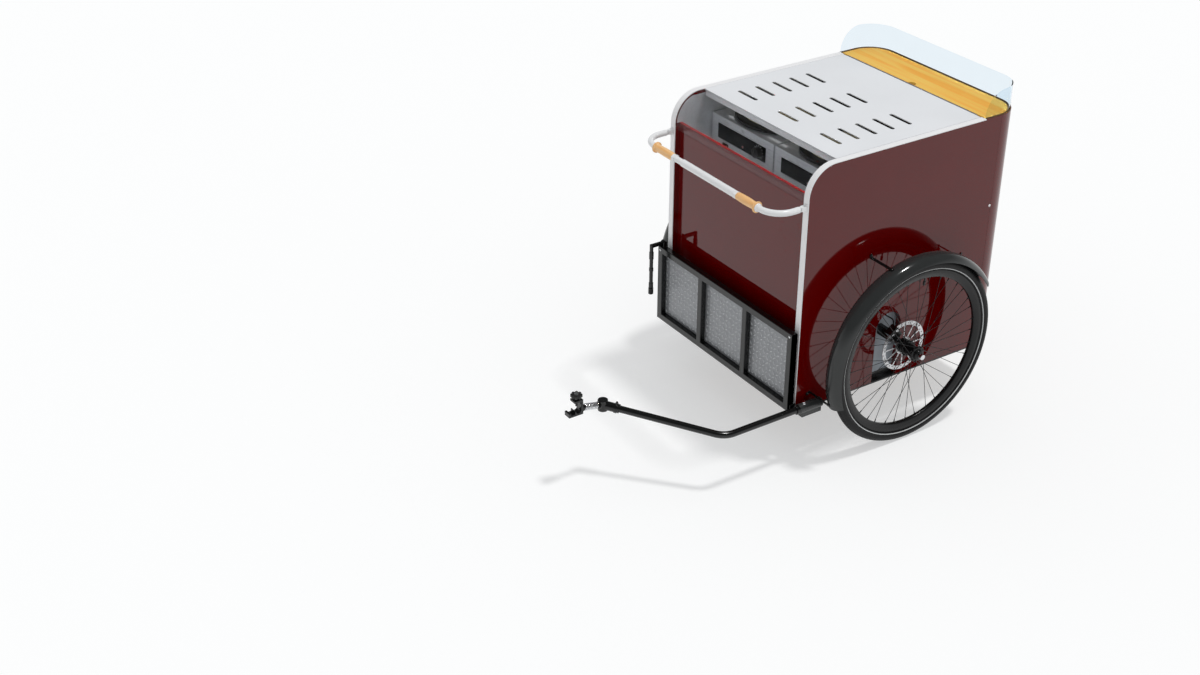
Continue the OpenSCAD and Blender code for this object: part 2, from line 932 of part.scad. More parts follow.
module lid_hinge_moving() {
    front = lid_back + leaf_l;
    color(steel) difference() {
        union() {
            block([shelf_front + leaf_t + over, -hinge_half, lid_z - leaf_t],
                  [front, hinge_half, lid_z]);
            for (k = [1 : 2 : knuckle_count - 1]) {
                y0 = knuckle_y(k) + knuckle_play;
                y1 = knuckle_y(k + 1) - knuckle_play;
                translate([lid_rear, 0, pin_z]) along_y(y0, y1, knuckle_r);
                block([lid_rear, y0, lid_z - leaf_t], [front, y1, lid_z]);
            }
        }
        translate([lid_rear, 0, pin_z])
            along_y(-hinge_half - over, hinge_half + over, lid_pin_r + slip);
    }
}

module vent_slot() {
    run = (slot_l - slot_w) / 2;
    translate([-slot_w / 2, -run]) square([slot_w, 2 * run]);
    for (s = [-1, 1]) translate([0, s * run]) circle(slot_w / 2);
}

module lid_panel() {
    color(white) translate([0, 0, lid_z]) linear_extrude(lid_t) difference() {
        translate([lid_back, -lid_half]) square([lid_front - lid_back, 2 * lid_half]);
        for (column = [0 : slot_columns - 1], row = [-1 : 1])
            translate([lid_front - slot_first - column * slot_pitch, row * slot_row])
                vent_slot();
    }
}

module window() {
    lap = lid_front - window_lap;
    color(clear) side_slice(-lid_half, lid_half) {
        translate([lap, lid_z - window_t]) square([front_c[0] - lap, window_t]);
        intersection() {
            translate(front_c) difference() {
                circle(window_out);
                circle(window_out - window_t);
            }
            translate(front_c) square(front_r);
        }
        translate([front_c[0] + window_out - window_t, body_top - window_drop])
            square([window_t, window_drop - front_r]);
    }
}

module counter_rim() {
    color(walnut) difference() {
        translate([0, 0, counter_z]) linear_extrude(board_t) difference() {
            rear_outline(lid_rear, skin_t);
            rear_outline(lid_rear + over, counter_rim_w);
        }
        translate([0, 0, body_top - groove_d]) linear_extrude(groove_d + over) difference() {
            rear_outline(lid_rear + over, guard_inset - seat);
            rear_outline(lid_rear + 2 * over, guard_inset + guard_t + seat);
        }
    }
}

module cutting_board() {
    color(wood) translate([0, 0, counter_z]) linear_extrude(board_t) difference() {
        rear_outline(board_front, counter_rim_w + play);
        translate([board_front, 0]) circle(finger_r);
    }
}

module guard() {
    low = body_top - groove_d;
    color(clear) intersection() {
        translate([0, 0, low]) linear_extrude(groove_d + guard_h) difference() {
            rear_outline(lid_rear, guard_inset);
            rear_outline(lid_rear + over, guard_inset + guard_t);
        }
        side_slice(-half_w, half_w) {
            translate([-body_rear, low])
                square([body_rear + lid_rear - guard_r, groove_d + guard_h]);
            translate([-body_rear, low])
                square([body_rear + lid_rear, groove_d + guard_h - guard_r]);
            translate([lid_rear - guard_r, body_top + guard_h - guard_r]) circle(guard_r);
        }
    }
}

module side_caps() {
    color(white) both_sides() translate([cap_back - body_rear, 0, cap_z])
        along_y(half_w, half_w + cap_t, cap_r);
}

// Push handle
module handle_brackets() {
    low = handle_y - ear_eye_w / 2 - play - ear_t;
    high = handle_y + ear_eye_w / 2 + play + ear_t;
    color(white) both_sides() translate([0, 0, handle_z]) {
        block([body_front, low, -ear_base_h], [body_front + ear_base_t, high, ear_base_h]);
        for (y = [low, high - ear_t]) {
            block([body_front, y, -ear_eye_r], [handle_x, y + ear_t, ear_eye_r]);
            translate([handle_x, 0, 0]) along_y(y, y + ear_t, ear_eye_r);
        }
        translate([handle_x, 0, 0]) along_y(low, high, ear_pin_r);
    }
}

module handle_run(r, extra) {
    run = handle_y - handle_bend;
    corner = handle_bar_x - handle_bend;
    rod([handle_bar_x, -run, 0], [handle_bar_x, run, 0], r);
    both_sides() {
        translate([corner, run, 0]) rotate_extrude(angle = 90) translate([handle_bend, 0]) circle(r);
        rod([handle_x + ear_stem - extra, handle_y, 0], [corner, handle_y, 0], r);
    }
}

module handle_tube() {
    low = handle_y - ear_eye_w / 2;
    high = handle_y + ear_eye_w / 2;
    color(white) translate([0, 0, handle_z]) {
        difference() {
            handle_run(handle_r, 0);
            handle_run(handle_r - handle_wall, over);
        }
        both_sides() difference() {
            union() {
                translate([handle_x, 0, 0]) along_y(low, high, ear_eye_r);
                block([handle_x, low, -tang_h / 2], [handle_x + ear_stem + handle_d, high, tang_h / 2]);
            }
            translate([handle_x, 0, 0]) along_y(low - over, high + over, ear_pin_r + slip);
        }
    }
}

module handle_sleeve(y0, y1, r) {
    translate([handle_bar_x, 0, handle_z]) difference() {
        along_y(y0, y1, r);
        along_y(y0 - over, y1 + over, handle_r + slip);
    }
}

module handle_grips() {
    color(wood) both_sides() {
        handle_sleeve(grip_out - grip_l, grip_out, grip_d / 2);
        handle_sleeve(grip_out - grip_flange_t, grip_out, grip_flange_r);
    }
}

module handle_collars() {
    inside = grip_out - grip_l;
    color(white) both_sides() {
        handle_sleeve(inside - collar_l, inside, collar_hex_r);
        handle_sleeve(grip_out, grip_out + collar_l / 2, collar_hex_r);
    }
}

// Fold-down platform and its prop leg
module platform_lugs() {
    color(black) both_sides() translate([hinge_x, 0, hinge_z]) {
        along_y(hinge_y - lug_w / 2, hinge_y + lug_w / 2, lug_r);
        along_y(hinge_y - lug_pin_half, hinge_y + lug_pin_half, lug_pin_r);
        block([chassis_front - hinge_x, hinge_y - lug_w / 2, -lug_bar],
              [0, hinge_y + lug_w / 2, lug_bar]);
    }
}

module platform_bars(inset, extra) {
    back = platform_back + inset;
    front = platform_front - inset;
    low = platform_low + inset;
    high = platform_top - inset;
    rail = platform_tube - 2 * inset;
    for (z = [low, high - rail])
        block([back, -platform_half - extra, z], [front, platform_half + extra, z + rail]);
    for (y = [platform_tube / 2 - platform_half, -divider_y, divider_y,
              platform_half - platform_tube / 2])
        block([back, y - rail / 2, low], [front, y + rail / 2, high]);
}

module platform_frame() {
    cheek_in = leg_eye_w / 2 + play;
    color(black) {
        difference() {
            union() {
                difference() {
                    platform_bars(0, 0);
                    platform_bars(platform_wall, over);
                }
                both_sides() for (y = [hinge_y - lug_pin_half, hinge_y + lug_w / 2 + play])
                    translate([hinge_x, 0, hinge_z]) along_y(y, y + lug_w, lug_r);
            }
            both_sides() translate([hinge_x, 0, hinge_z]) {
                along_y(hinge_y - lug_w / 2 - play, hinge_y + lug_w / 2 + play, lug_r + play);
                along_y(hinge_y - lug_pin_half - over, hinge_y + lug_pin_half + over,
                        lug_pin_r + slip);
            }
        }
        translate([leg_x, leg_y, leg_z]) {
            for (y = [-cheek_in - cheek_t, cheek_in]) {
                block([-leg_eye_r, y, -leg_up], [leg_eye_r, y + cheek_t, 0]);
                along_y(y, y + cheek_t, leg_eye_r);
            }
            along_y(-cheek_in - cheek_t, cheek_in + cheek_t, leg_pin_r);
        }
    }
}

module tread_plates() {
    x = platform_back + tread_back;
    low = platform_low + platform_tube + seat;
    high = platform_top - platform_tube - seat;
    reach = platform_tube / 2 + seat;
    color(steel) {
        block([x, reach - divider_y, low], [x + tread_t, divider_y - reach, high]);
        both_sides()
            block([x, divider_y + reach, low],
                  [x + tread_t, platform_half - platform_tube - seat, high]);
    }
}

module prop_leg() {
    arm = leg_eye_w / 2;
    color(black) translate([leg_x, leg_y, leg_z]) difference() {
        union() {
            along_y(-arm, arm, leg_eye_r);
            block([0, -arm, -arm], [leg_arm, arm, arm]);
            rod([leg_arm, 0, foot_h - leg_l], [leg_arm, 0, arm], leg_d / 2);
        }
        along_y(-arm - over, arm + over, leg_pin_r + slip);
    }
}

module leg_foot() {
    color(black) translate([leg_x + leg_arm, leg_y, leg_z - leg_l]) difference() {
        cylinder(h = foot_h + foot_lap, r = foot_r);
        translate([0, 0, foot_h]) cylinder(h = foot_lap + over, r = leg_d / 2 + slip);
    }
}

// Drawbar and hitch
module drawbar_socket() {
    color(grey) difference() {
        union() {
            rod([socket_back, socket_y, socket_z], [socket_front, socket_y, socket_z], socket_r);
            block([socket_back, socket_y - socket_foot_w, body_bottom],
                  [body_front - trim_t, socket_y + socket_foot_w, socket_z]);
            block([socket_back, half_w - over, body_bottom],
                  [body_front - trim_t, socket_y, panel_bottom]);
        }
        rod([socket_back - over, socket_y, socket_z], [socket_front + over, socket_y, socket_z],
            drawbar_r + slip);
        translate([socket_front - bolt_back, socket_y, body_bottom - over])
            cylinder(h = 2 * socket_up + socket_d, r = bolt_r + slip);
    }
}

module socket_bolt() {
    color(steel) translate([socket_front - bolt_back, socket_y, 0]) {
        translate([0, 0, body_bottom])
            cylinder(h = socket_up + socket_r + bolt_rise, r = bolt_r);
        translate([0, 0, socket_z + socket_r + bolt_rise - bolt_head_h])
            cylinder(h = bolt_head_h, r = bolt_head_r);
    }
}

// From the start of the bend: the length in the socket and the bend
module drawbar_run(r, extra) {
    rotate([0, -90, 0]) cylinder(h = bend_x - bend_run - socket_back + extra, r = r);
    translate([0, drawbar_bend, 0]) rotate([0, 0, -90])
        rotate_extrude(angle = bend_a) translate([drawbar_bend, 0]) circle(r);
}

// Past the bend: the length to the hitch is a tube of its own, a hair away from the bend
module drawbar_reach(r, from, extra) {
    past_bend() translate([from, 0, 0]) rotate([0, 90, 0])
        cylinder(h = pull_l - bend_run - sleeve_stop - from + extra, r = r);
}

module past_bend() {
    translate([0, drawbar_bend, 0]) rotate([0, 0, bend_a]) translate([0, -drawbar_bend, 0])
        children();
}

module drawbar() {
    color(black) difference() {
        translate(bend_point - [bend_run, 0, 0]) rotate([bend_roll, 0, 0]) {
            difference() {
                drawbar_run(drawbar_r, 0);
                drawbar_run(drawbar_r - drawbar_wall, over);
            }
            difference() {
                drawbar_reach(drawbar_r, seat, 0);
                drawbar_reach(drawbar_r - drawbar_wall, seat / 2, over);
            }
        }
        translate([socket_front - bolt_back, socket_y, socket_z - drawbar_d])
            cylinder(h = 2 * drawbar_d, r = bolt_r + slip);
    }
}

module hitch_sleeve() {
    along = unit(pull);
    tail = hitch_end - sleeve_l * along;
    color(grey) difference() {
        union() {
            rod(tail, hitch_end, sleeve_r);
            translate(hitch_end - [0, 0, elbow_half]) cylinder(h = 2 * elbow_half, r = elbow_r);
            rod(hitch_end + collar_start * spring_dir,
                hitch_end + spring_start * spring_dir, collar_r);
            rod(hitch_end, hitch_end + (spring_start + plug_l) * spring_dir, plug_r);
        }
        rod(tail - over * along, hitch_end - (sleeve_stop - seat) * along, drawbar_r + slip);
    }
}

module hitch_spring() {
    color(steel) translate(hitch_end + spring_start * spring_dir)
        rotate([0, 90 - hitch_slope, 0])
            swept_tube(coil_path, [for (p = coil_path) [p[0], p[1], 0]], wire_d / 2, coil_sides);
}

module hitch_clamp() {
    end = hitch_end + (spring_start + spring_l) * spring_dir;
    x = clamp_at[0];
    far = x + clamp_l;
    saddle = x + clamp_arm + 2 * jaw_r + jaw_wall;
    color(black) difference() {
        union() {
            rod(end, end + 2 * collar_t * spring_dir, collar_r);
            rod(end - plug_l * spring_dir, end, plug_r);
            translate([0, hitch_side, clamp_at[2]]) {
                block([x, -clamp_half, -clamp_low], [x + clamp_arm, clamp_half, clamp_high]);
                block([x, -clamp_half, -clamp_low], [far, clamp_half, -jaw_r]);
                block([far - clamp_arm, -clamp_half, -clamp_low], [far, clamp_half, hook_h - jaw_r]);
                block([x, -clamp_half, -jaw_r], [saddle, clamp_half, 0]);
                block([x, -clamp_half, clamp_high - clamp_arm],
                      [jaw_x + 2 * clamp_arm, clamp_half, clamp_high]);
            }
        }
        translate([jaw_x, hitch_side, clamp_at[2]]) {
            along_y(-clamp_half - over, clamp_half + over, jaw_r);
            cylinder(h = 2 * clamp_high, r = screw_r + 2 * slip);
        }
    }
}

module star_knob() {
    color(black) translate([jaw_x, hitch_side, clamp_at[2]]) {
        translate([0, 0, jaw_r + screw_clear])
            cylinder(h = clamp_high + star_gap + star_t / 2 - jaw_r - screw_clear, r = screw_r);
        translate([0, 0, clamp_high + star_gap]) linear_extrude(star_t) {
            circle(star_r);
            for (k = [0 : star_lobes - 1]) rotate(360 * (k + lobe_turn_share) / star_lobes)
                translate([star_r, 0]) circle(star_lobe_r);
        }
    }
}

// Wheels
module tyre(side) {
    color(black) on_side(side) about_axle(wheel_y) rotate_extrude() difference() {
        translate([wheel_r - tyre_w / 2, 0]) circle(tyre_w / 2);
        translate([wheel_r - tyre_w / 2, 0]) circle(tyre_w / 2 - tyre_wall);
        translate([0, -tyre_w]) square([rim_r + seat, 2 * tyre_w]);
        translate([0, -bead_half]) square([wheel_r - tyre_w / 2, 2 * bead_half]);
    }
}

module rim(side) {
    half = rim_w / 2;
    color(black) on_side(side) about_axle(wheel_y) rotate_extrude() polygon([
        [rim_r, -half],
        [rim_r, rim_wall - half],
        [rim_r - rim_well, rim_wall - half],
        [rim_r - rim_well, half - rim_wall],
        [rim_r, half - rim_wall],
        [rim_r, half],
        [rim_r - rim_shoulder, half],
        [rim_in, rim_nose],
        [rim_in, -rim_nose],
        [rim_r - rim_shoulder, -half]
    ]);
}

// Spokes lean one way on one face of a flange and the other way on its other face
module spokes(side) {
    per_flange = spoke_count / 2;
    step = 360 / per_flange;
    hole_r = flange_r - spoke_edge;
    rim_end = rim_in - play;
    color(black) on_side(side) translate([0, wheel_y, axle_z])
        for (flange = [0, 1], k = [0 : per_flange - 1]) {
            y = flange == 0 ? -flange_in : flange_out;
            lean = k % 2 == 0 ? spoke_lean : -spoke_lean;
            head = k % 2 == 0 ? spoke_head : -spoke_head;
            a = step * (k + flange / 2);
            rod([hole_r * cos(a - lean), y + head, hole_r * sin(a - lean)],
                [rim_end * cos(a), sign(y) * spoke_rim_y, rim_end * sin(a)], spoke_r);
        }
}

module hub(side) {
    disc_face = disc_t / 2 - disc_in;
    color(black) on_side(side) translate([0, wheel_y, axle_z]) difference() {
        union() {
            along_y(-hub_inner, hub_outer, hub_r);
            for (y = [-flange_in, flange_out])
                along_y(y - flange_t / 2, y + flange_t / 2, flange_r);
            along_y(disc_face, disc_face + flange_t, seat_flange_r);
        }
        along_y(-hub_inner - over, hub_outer + over, axle_r + slip);
    }
}

module brake_disc(side) {
    ring_in = hub_r + 2 * slip;
    band_in = disc_r - disc_band;
    color(steel) on_side(side) about_axle(wheel_y - disc_in + disc_t / 2)
        linear_extrude(disc_t) {
            difference() {
                circle(disc_r);
                circle(band_in);
                for (k = [0 : disc_holes - 1]) rotate(360 * k / disc_holes)
                    translate([band_in + disc_band * disc_hole_shares[k % 3], 0]) circle(disc_hole_r);
            }
            difference() {
                circle(ring_in + disc_ring);
                circle(ring_in);
            }
            for (k = [0 : disc_arms - 1]) rotate(360 * k / disc_arms)
                translate([ring_in + disc_ring - over, -disc_arm_w / 2])
                    square([band_in - ring_in - disc_ring + 2 * over, disc_arm_w]);
        }
}

chassis_frame();
floor_panel();
axle_plates();
stub_axles();
side_panel(1);  // side_panel_left
side_panel(-1);  // side_panel_right
edge_trims();
rear_panel();
front_panel();
lip_rail();
fenders();
fender_straps();
brake_calipers();
brake_hoses();
deck();
griddle_housings();
griddle_plates();
heating_rings();
control_fascias();
indicator_lamps();
top_rails();
lid_hinge_fixed();
counter_rim();
guard();
side_caps();
handle_brackets();
platform_lugs();
drawbar_socket();
socket_bolt();
drawbar();
hitch_sleeve();
hitch_spring();
tyre(1);  // tyre_left
rim(1);  // rim_left
spokes(1);  // spokes_left
hub(1);  // hub_left
brake_disc(1);  // brake_disc_left
tyre(-1);  // tyre_right
rim(-1);  // rim_right
spokes(-1);  // spokes_right
hub(-1);  // hub_right
brake_disc(-1);  // brake_disc_right
lid_panel();
window();
lid_hinge_moving();
handle_tube();
handle_grips();
handle_collars();
platform_frame();
tread_plates();
prop_leg();
leg_foot();
knob(1);  // knob_left
knob(-1);  // knob_right
rocker_switch();
cutting_board();
hitch_clamp();
star_knob();
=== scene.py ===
"""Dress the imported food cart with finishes, rounded edges and the small pieces the solids leave plain."""

import json
import logging
import math
from dataclasses import dataclass, field
from enum import Enum
from typing import Sequence

import bmesh
import bpy
from mathutils import Matrix, Vector

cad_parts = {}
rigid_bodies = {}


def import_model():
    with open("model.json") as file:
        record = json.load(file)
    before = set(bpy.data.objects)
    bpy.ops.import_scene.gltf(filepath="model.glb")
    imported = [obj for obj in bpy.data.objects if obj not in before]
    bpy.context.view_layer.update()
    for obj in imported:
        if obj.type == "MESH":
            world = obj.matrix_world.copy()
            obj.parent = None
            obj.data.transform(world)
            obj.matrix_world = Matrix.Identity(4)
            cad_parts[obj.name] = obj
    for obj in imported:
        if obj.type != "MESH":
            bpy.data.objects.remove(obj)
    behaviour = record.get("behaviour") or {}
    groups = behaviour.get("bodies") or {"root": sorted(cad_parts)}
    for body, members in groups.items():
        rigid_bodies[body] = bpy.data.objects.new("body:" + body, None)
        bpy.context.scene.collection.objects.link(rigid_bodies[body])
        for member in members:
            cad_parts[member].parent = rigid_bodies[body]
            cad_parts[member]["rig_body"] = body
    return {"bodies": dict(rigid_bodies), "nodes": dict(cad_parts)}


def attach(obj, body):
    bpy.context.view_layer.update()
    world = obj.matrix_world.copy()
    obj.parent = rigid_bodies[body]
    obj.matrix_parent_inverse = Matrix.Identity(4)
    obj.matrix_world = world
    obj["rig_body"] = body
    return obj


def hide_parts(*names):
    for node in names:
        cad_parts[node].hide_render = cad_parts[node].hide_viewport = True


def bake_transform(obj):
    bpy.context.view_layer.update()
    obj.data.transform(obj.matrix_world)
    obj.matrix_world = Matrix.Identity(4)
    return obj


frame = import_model()

LOG = logging.getLogger("food_cart")
MM = 0.001

Colour = tuple[int, int, int]
Point = tuple[float, float, float]
Block = tuple[Point, Point]
Light = tuple[float, float, float, float]
Profile = Sequence[tuple[float, float]]
Outline = list[tuple[float, float]]
Socket = bpy.types.NodeSocket
Mesh = bmesh.types.BMesh

AXLE_Z = 353.0
WHEEL_Y = 500.0
PANEL_Y = 390.0
COOL_WHITE = (0.98, 0.99, 1.0, 1.0)


class Side(Enum):
    """The cart's two sides, by the sign of Y."""

    LEFT = 1
    RIGHT = -1

    @property
    def word(self) -> str:
        """The side's name in piece names."""
        return self.name.lower()


class Pattern(Enum):
    """How a finish's pattern lies on its piece."""

    EVEN = (1.0, 1.0, 1.0)
    ALONG_Y = (1.0, 0.04, 1.0)


def linear(colour: Colour) -> Light:
    """Turn a display colour into linear light.

    Args:
        colour: Red, green and blue from 0 to 255.

    Returns:
        Linear red, green and blue from 0 to 1, and an alpha of 1.
    """
    parts = [c / 255 for c in colour]
    lit = [p / 12.92 if p <= 0.04045 else ((p + 0.055) / 1.055) ** 2.4 for p in parts]
    return (lit[0], lit[1], lit[2], 1.0)


def toned(colour: Colour, share: float) -> Light:
    """A display colour in linear light, made lighter or darker by a share."""
    r, g, b, a = linear(colour)
    return (min(r * share, 1.0), min(g * share, 1.0), min(b * share, 1.0), a)


class NodeBench:
    """Lays out the nodes of one material or world."""

    def __init__(self, tree: bpy.types.NodeTree) -> None:
        """Start on an empty tree.

        Args:
            tree: The node tree of a material or a world.
        """
        self.tree = tree
        tree.nodes.clear()

    def node(self, kind: str, values: dict | None = None, **settings: object) -> bpy.types.Node:
        """Add a node.

        Args:
            kind: The node's type name.
            values: Sockets or plain values, by input name or number.
            settings: The node's own properties.

        Returns:
            The new node.
        """
        made = self.tree.nodes.new(kind)
        for name, value in settings.items():
            setattr(made, name, value)
        for name, value in (values or {}).items():
            if isinstance(value, Socket):
                self.tree.links.new(value, made.inputs[name])
            else:
                made.inputs[name].default_value = value
        return made

    def place_of(self, scale: Point, shift: Point = (0.0, 0.0, 0.0)) -> Socket:
        """Object coordinates, scaled and shifted."""
        where = self.node("ShaderNodeTexCoord").outputs["Object"]
        values = {"Vector": where, "Scale": scale, "Location": shift}
        return self.node("ShaderNodeMapping", values).outputs["Vector"]

    def noise(self, vector: Socket, scale: float, detail: float = 3.0, distortion: float = 0.0) -> Socket:
        """A noise value from 0 to 1 over the given coordinates."""
        values = {"Vector": vector, "Scale": scale, "Detail": detail, "Distortion": distortion}
        return self.node("ShaderNodeTexNoise", values).outputs["Fac"]

    def spread(self, value: Socket, low: float, high: float, start: float = 0.3, end: float = 0.7) -> Socket:
        """Map a pattern value from start..end to low..high."""
        values = {"Value": value, "From Min": start, "From Max": end, "To Min": low, "To Max": high}
        return self.node("ShaderNodeMapRange", values).outputs["Result"]

    def mix(self, share: object, first: object, second: object) -> Socket:
        """Mix two colours by a share."""
        return self.node("ShaderNodeMix", {0: share, 6: first, 7: second}, data_type="RGBA").outputs[2]

    def choose(self, share: Socket, first: Socket, second: Socket) -> Socket:
        """The first shader where the share is 0, and the second where it is 1."""
        return self.node("ShaderNodeMixShader", {0: share, 1: first, 2: second}).outputs[0]

    def radius(self, where: Socket, kept: Point) -> Socket:
        """The distance from an axis, with 1 in kept for the directions across it and 0 for its own."""
        flat = self.node("ShaderNodeVectorMath", {0: where, 1: kept}, operation="MULTIPLY").outputs["Vector"]
        return self.node("ShaderNodeVectorMath", {0: flat}, operation="LENGTH").outputs["Value"]

    def math(self, deed: str, *values: object) -> Socket:
        """One arithmetic step on sockets or plain numbers."""
        return self.node("ShaderNodeMath", dict(enumerate(values)), operation=deed).outputs[0]

    def relief(self, height: Socket, depth: float, strength: float = 1.0) -> Socket:
        """A bump from a height pattern, with its depth in millimetres."""
        values = {"Height": height, "Distance": depth * MM, "Strength": strength}
        return self.node("ShaderNodeBump", values).outputs["Normal"]


@dataclass(frozen=True)
class Finish:
    """A painted, metal or moulded surface with a fine uneven pattern."""

    slot: str
    colour: Colour
    roughness: float
    metallic: float = 0.0
    coat: float = 0.0
    specular: float = 0.5
    change: float = 0.06
    scale: float = 25.0
    pattern: Pattern = Pattern.EVEN
    gloss_change: float = 0.05
    depth: float = 0.02
    depth_scale: float = 500.0
    name: str = ""

    @property
    def title(self) -> str:
        """The material's name."""
        return self.name or f"{self.slot}_finish"

    def material(self) -> bpy.types.Material:
        """The finish's material, made once."""
        found = bpy.data.materials.get(self.title)
        if found:
            return found
        made = bpy.data.materials.new(self.title)
        made.use_nodes = True
        bench = NodeBench(made.node_tree)
        shader = self.lay(bench)
        bench.node("ShaderNodeOutputMaterial", {"Surface": shader})
        return made

    def surface(self, bench: NodeBench, values: dict) -> Socket:
        """The shader with the finish's uniform values on its own sockets."""
        plain = {
            "Metallic": self.metallic,
            "Specular IOR Level": self.specular,
            "Coat Weight": self.coat,
            "Coat Roughness": 0.04,
        }
        return bench.node("ShaderNodeBsdfPrincipled", {**plain, **values}).outputs["BSDF"]

    def patterned(self, bench: NodeBench, tone: Socket, fine: Socket) -> Socket:
        """The shader with one pattern in its colour and a fine one in its gloss and relief."""
        low, high = toned(self.colour, 1 - self.change), toned(self.colour, 1 + self.change)
        rough = bench.spread(fine, self.roughness - self.gloss_change, self.roughness + self.gloss_change)
        return self.surface(bench, {
            "Base Color": bench.mix(bench.spread(tone, 0.0, 1.0), low, high),
            "Roughness": bench.math("MAXIMUM", rough, 0.02),
            "Normal": bench.relief(fine, self.depth),
        })

    def lay(self, bench: NodeBench) -> Socket:
        """Lay the pattern out.

        Args:
            bench: The material's nodes.

        Returns:
            The surface shader.
        """
        where = bench.place_of(self.pattern.value)
        cloud = bench.noise(where, self.scale)
        return self.patterned(bench, cloud, bench.noise(where, self.depth_scale, 2.0))


@dataclass(frozen=True)
class WoodFinish(Finish):
    """Wood with grain lines along Y, in glued strips."""

    dark: Colour = (180, 110, 30)
    strip: float = 42.0
    line_scale: float = 34.0

    def lay(self, bench: NodeBench) -> Socket:
        """Lay grain lines, strips and pores out."""
        where = bench.place_of((1.0, 0.05, 1.0))
        parts = bench.node("ShaderNodeSeparateXYZ", {"Vector": bench.place_of((1.0, 1.0, 1.0))})
        row = bench.math("FLOOR", bench.math("DIVIDE", parts.outputs["X"], self.strip * MM))
        tone = bench.node("ShaderNodeTexWhiteNoise", {"W": row}, noise_dimensions="1D").outputs["Value"]
        drift = bench.node("ShaderNodeCombineXYZ", {"X": row, "Y": bench.math("MULTIPLY", tone, 3.0)})
        moved = bench.node("ShaderNodeVectorMath", {0: where, 1: drift.outputs["Vector"]}, operation="ADD")
        lines = bench.noise(moved.outputs["Vector"], self.line_scale, 5.0, 0.6)
        pores = bench.noise(where, 900.0, 2.0)
        low, high = linear(self.dark), linear(self.colour)
        grain = bench.mix(bench.spread(lines, 0.0, 1.0, 0.32, 0.56), low, high)
        body = bench.mix(bench.spread(tone, 0.0, 0.22, 0.0, 1.0), grain, low)
        rough = bench.spread(pores, self.roughness - 0.06, self.roughness + 0.08)
        return self.surface(bench, {
            "Base Color": body,
            "Roughness": rough,
            "Normal": bench.relief(pores, self.depth),
        })


@dataclass(frozen=True)
class TurnedFinish(Finish):
    """Metal with fine rings from turning, about an axis along Y or Z."""

    centre: Point = (0.0, 0.0, 0.0)
    flat: bool = True

    def lay(self, bench: NodeBench) -> Socket:
        """Lay rings out round the centre."""
        shift = tuple(-c * MM for c in self.centre)
        scale = (1.0, 1.0, 0.0) if self.flat else (1.0, 0.0, 1.0)
        where = bench.place_of((1.0, 1.0, 1.0), shift)
        values = {"W": bench.radius(where, scale), "Scale": self.depth_scale, "Detail": 3.0}
        rings = bench.node("ShaderNodeTexNoise", values, noise_dimensions="1D").outputs["Fac"]
        cloud = bench.noise(where, self.scale)
        shade = bench.math("ADD", bench.math("MULTIPLY", rings, 0.6), bench.math("MULTIPLY", cloud, 0.4))
        return self.patterned(bench, shade, rings)


@dataclass(frozen=True)
class TyreFinish(Finish):
    """Tyre rubber with fine cross cuts on the tread."""

    tread_r: float = 345.0
    cuts: float = 150.0

    def lay(self, bench: NodeBench) -> Socket:
        """Lay the tread's cuts and the rubber's dust out."""
        where = bench.place_of((1.0, 1.0, 1.0), (0.0, 0.0, -AXLE_Z * MM))
        parts = bench.node("ShaderNodeSeparateXYZ", {"Vector": where})
        x, y, z = (parts.outputs[k] for k in "XYZ")
        angle = bench.math("ARCTAN2", z, x)
        slant = bench.math("MULTIPLY", bench.math("ABSOLUTE", y), 30.0)
        wave = bench.math("SINE", bench.math("ADD", bench.math("MULTIPLY", angle, self.cuts), slant))
        radius = bench.radius(where, (1.0, 0.0, 1.0))
        tread = bench.spread(radius, 0.0, 1.0, self.tread_r * MM, (self.tread_r + 3) * MM)
        cut = bench.math("MULTIPLY", bench.spread(wave, 0.0, 1.0, 0.5, 0.85), tread)
        fine = bench.noise(where, 700.0, 3.0)
        height = bench.math("SUBTRACT", bench.math("MULTIPLY", fine, 0.2), cut)
        dust = bench.spread(bench.noise(where, 18.0, 4.0), 0.0, 1.0)
        low, high = toned(self.colour, 0.8), toned(self.colour, 1.35)
        return self.surface(bench, {
            "Base Color": bench.mix(dust, low, high),
            "Roughness": bench.spread(fine, self.roughness - 0.08, self.roughness + 0.08),
            "Normal": bench.relief(height, 0.8, 0.7),
        })


@dataclass(frozen=True)
class SheetFinish(Finish):
    """Clear or smoky sheet that lets light through."""

    through: Colour = (235, 240, 242)
    ior: float = 1.2

    def lay(self, bench: NodeBench) -> Socket:
        """Lay the sheet out, with faint cloudy marks in its gloss."""
        where = bench.place_of((1.0, 1.0, 1.0))
        marks = bench.noise(where, 14.0, 5.0)
        low, high = toned(self.colour, 0.97), toned(self.colour, 1.0)
        sheet = bench.node("ShaderNodeBsdfPrincipled", {
            "Base Color": bench.mix(marks, low, high),
            "Roughness": bench.spread(marks, 0.0, 0.03, 0.5, 0.8),
            "Transmission Weight": 1.0,
            "IOR": self.ior,
        })
        lamp = bench.node("ShaderNodeBsdfTransparent", {"Color": linear(self.through)})
        ray = bench.node("ShaderNodeLightPath").outputs["Is Shadow Ray"]
        return bench.choose(ray, sheet.outputs["BSDF"], lamp.outputs["BSDF"])


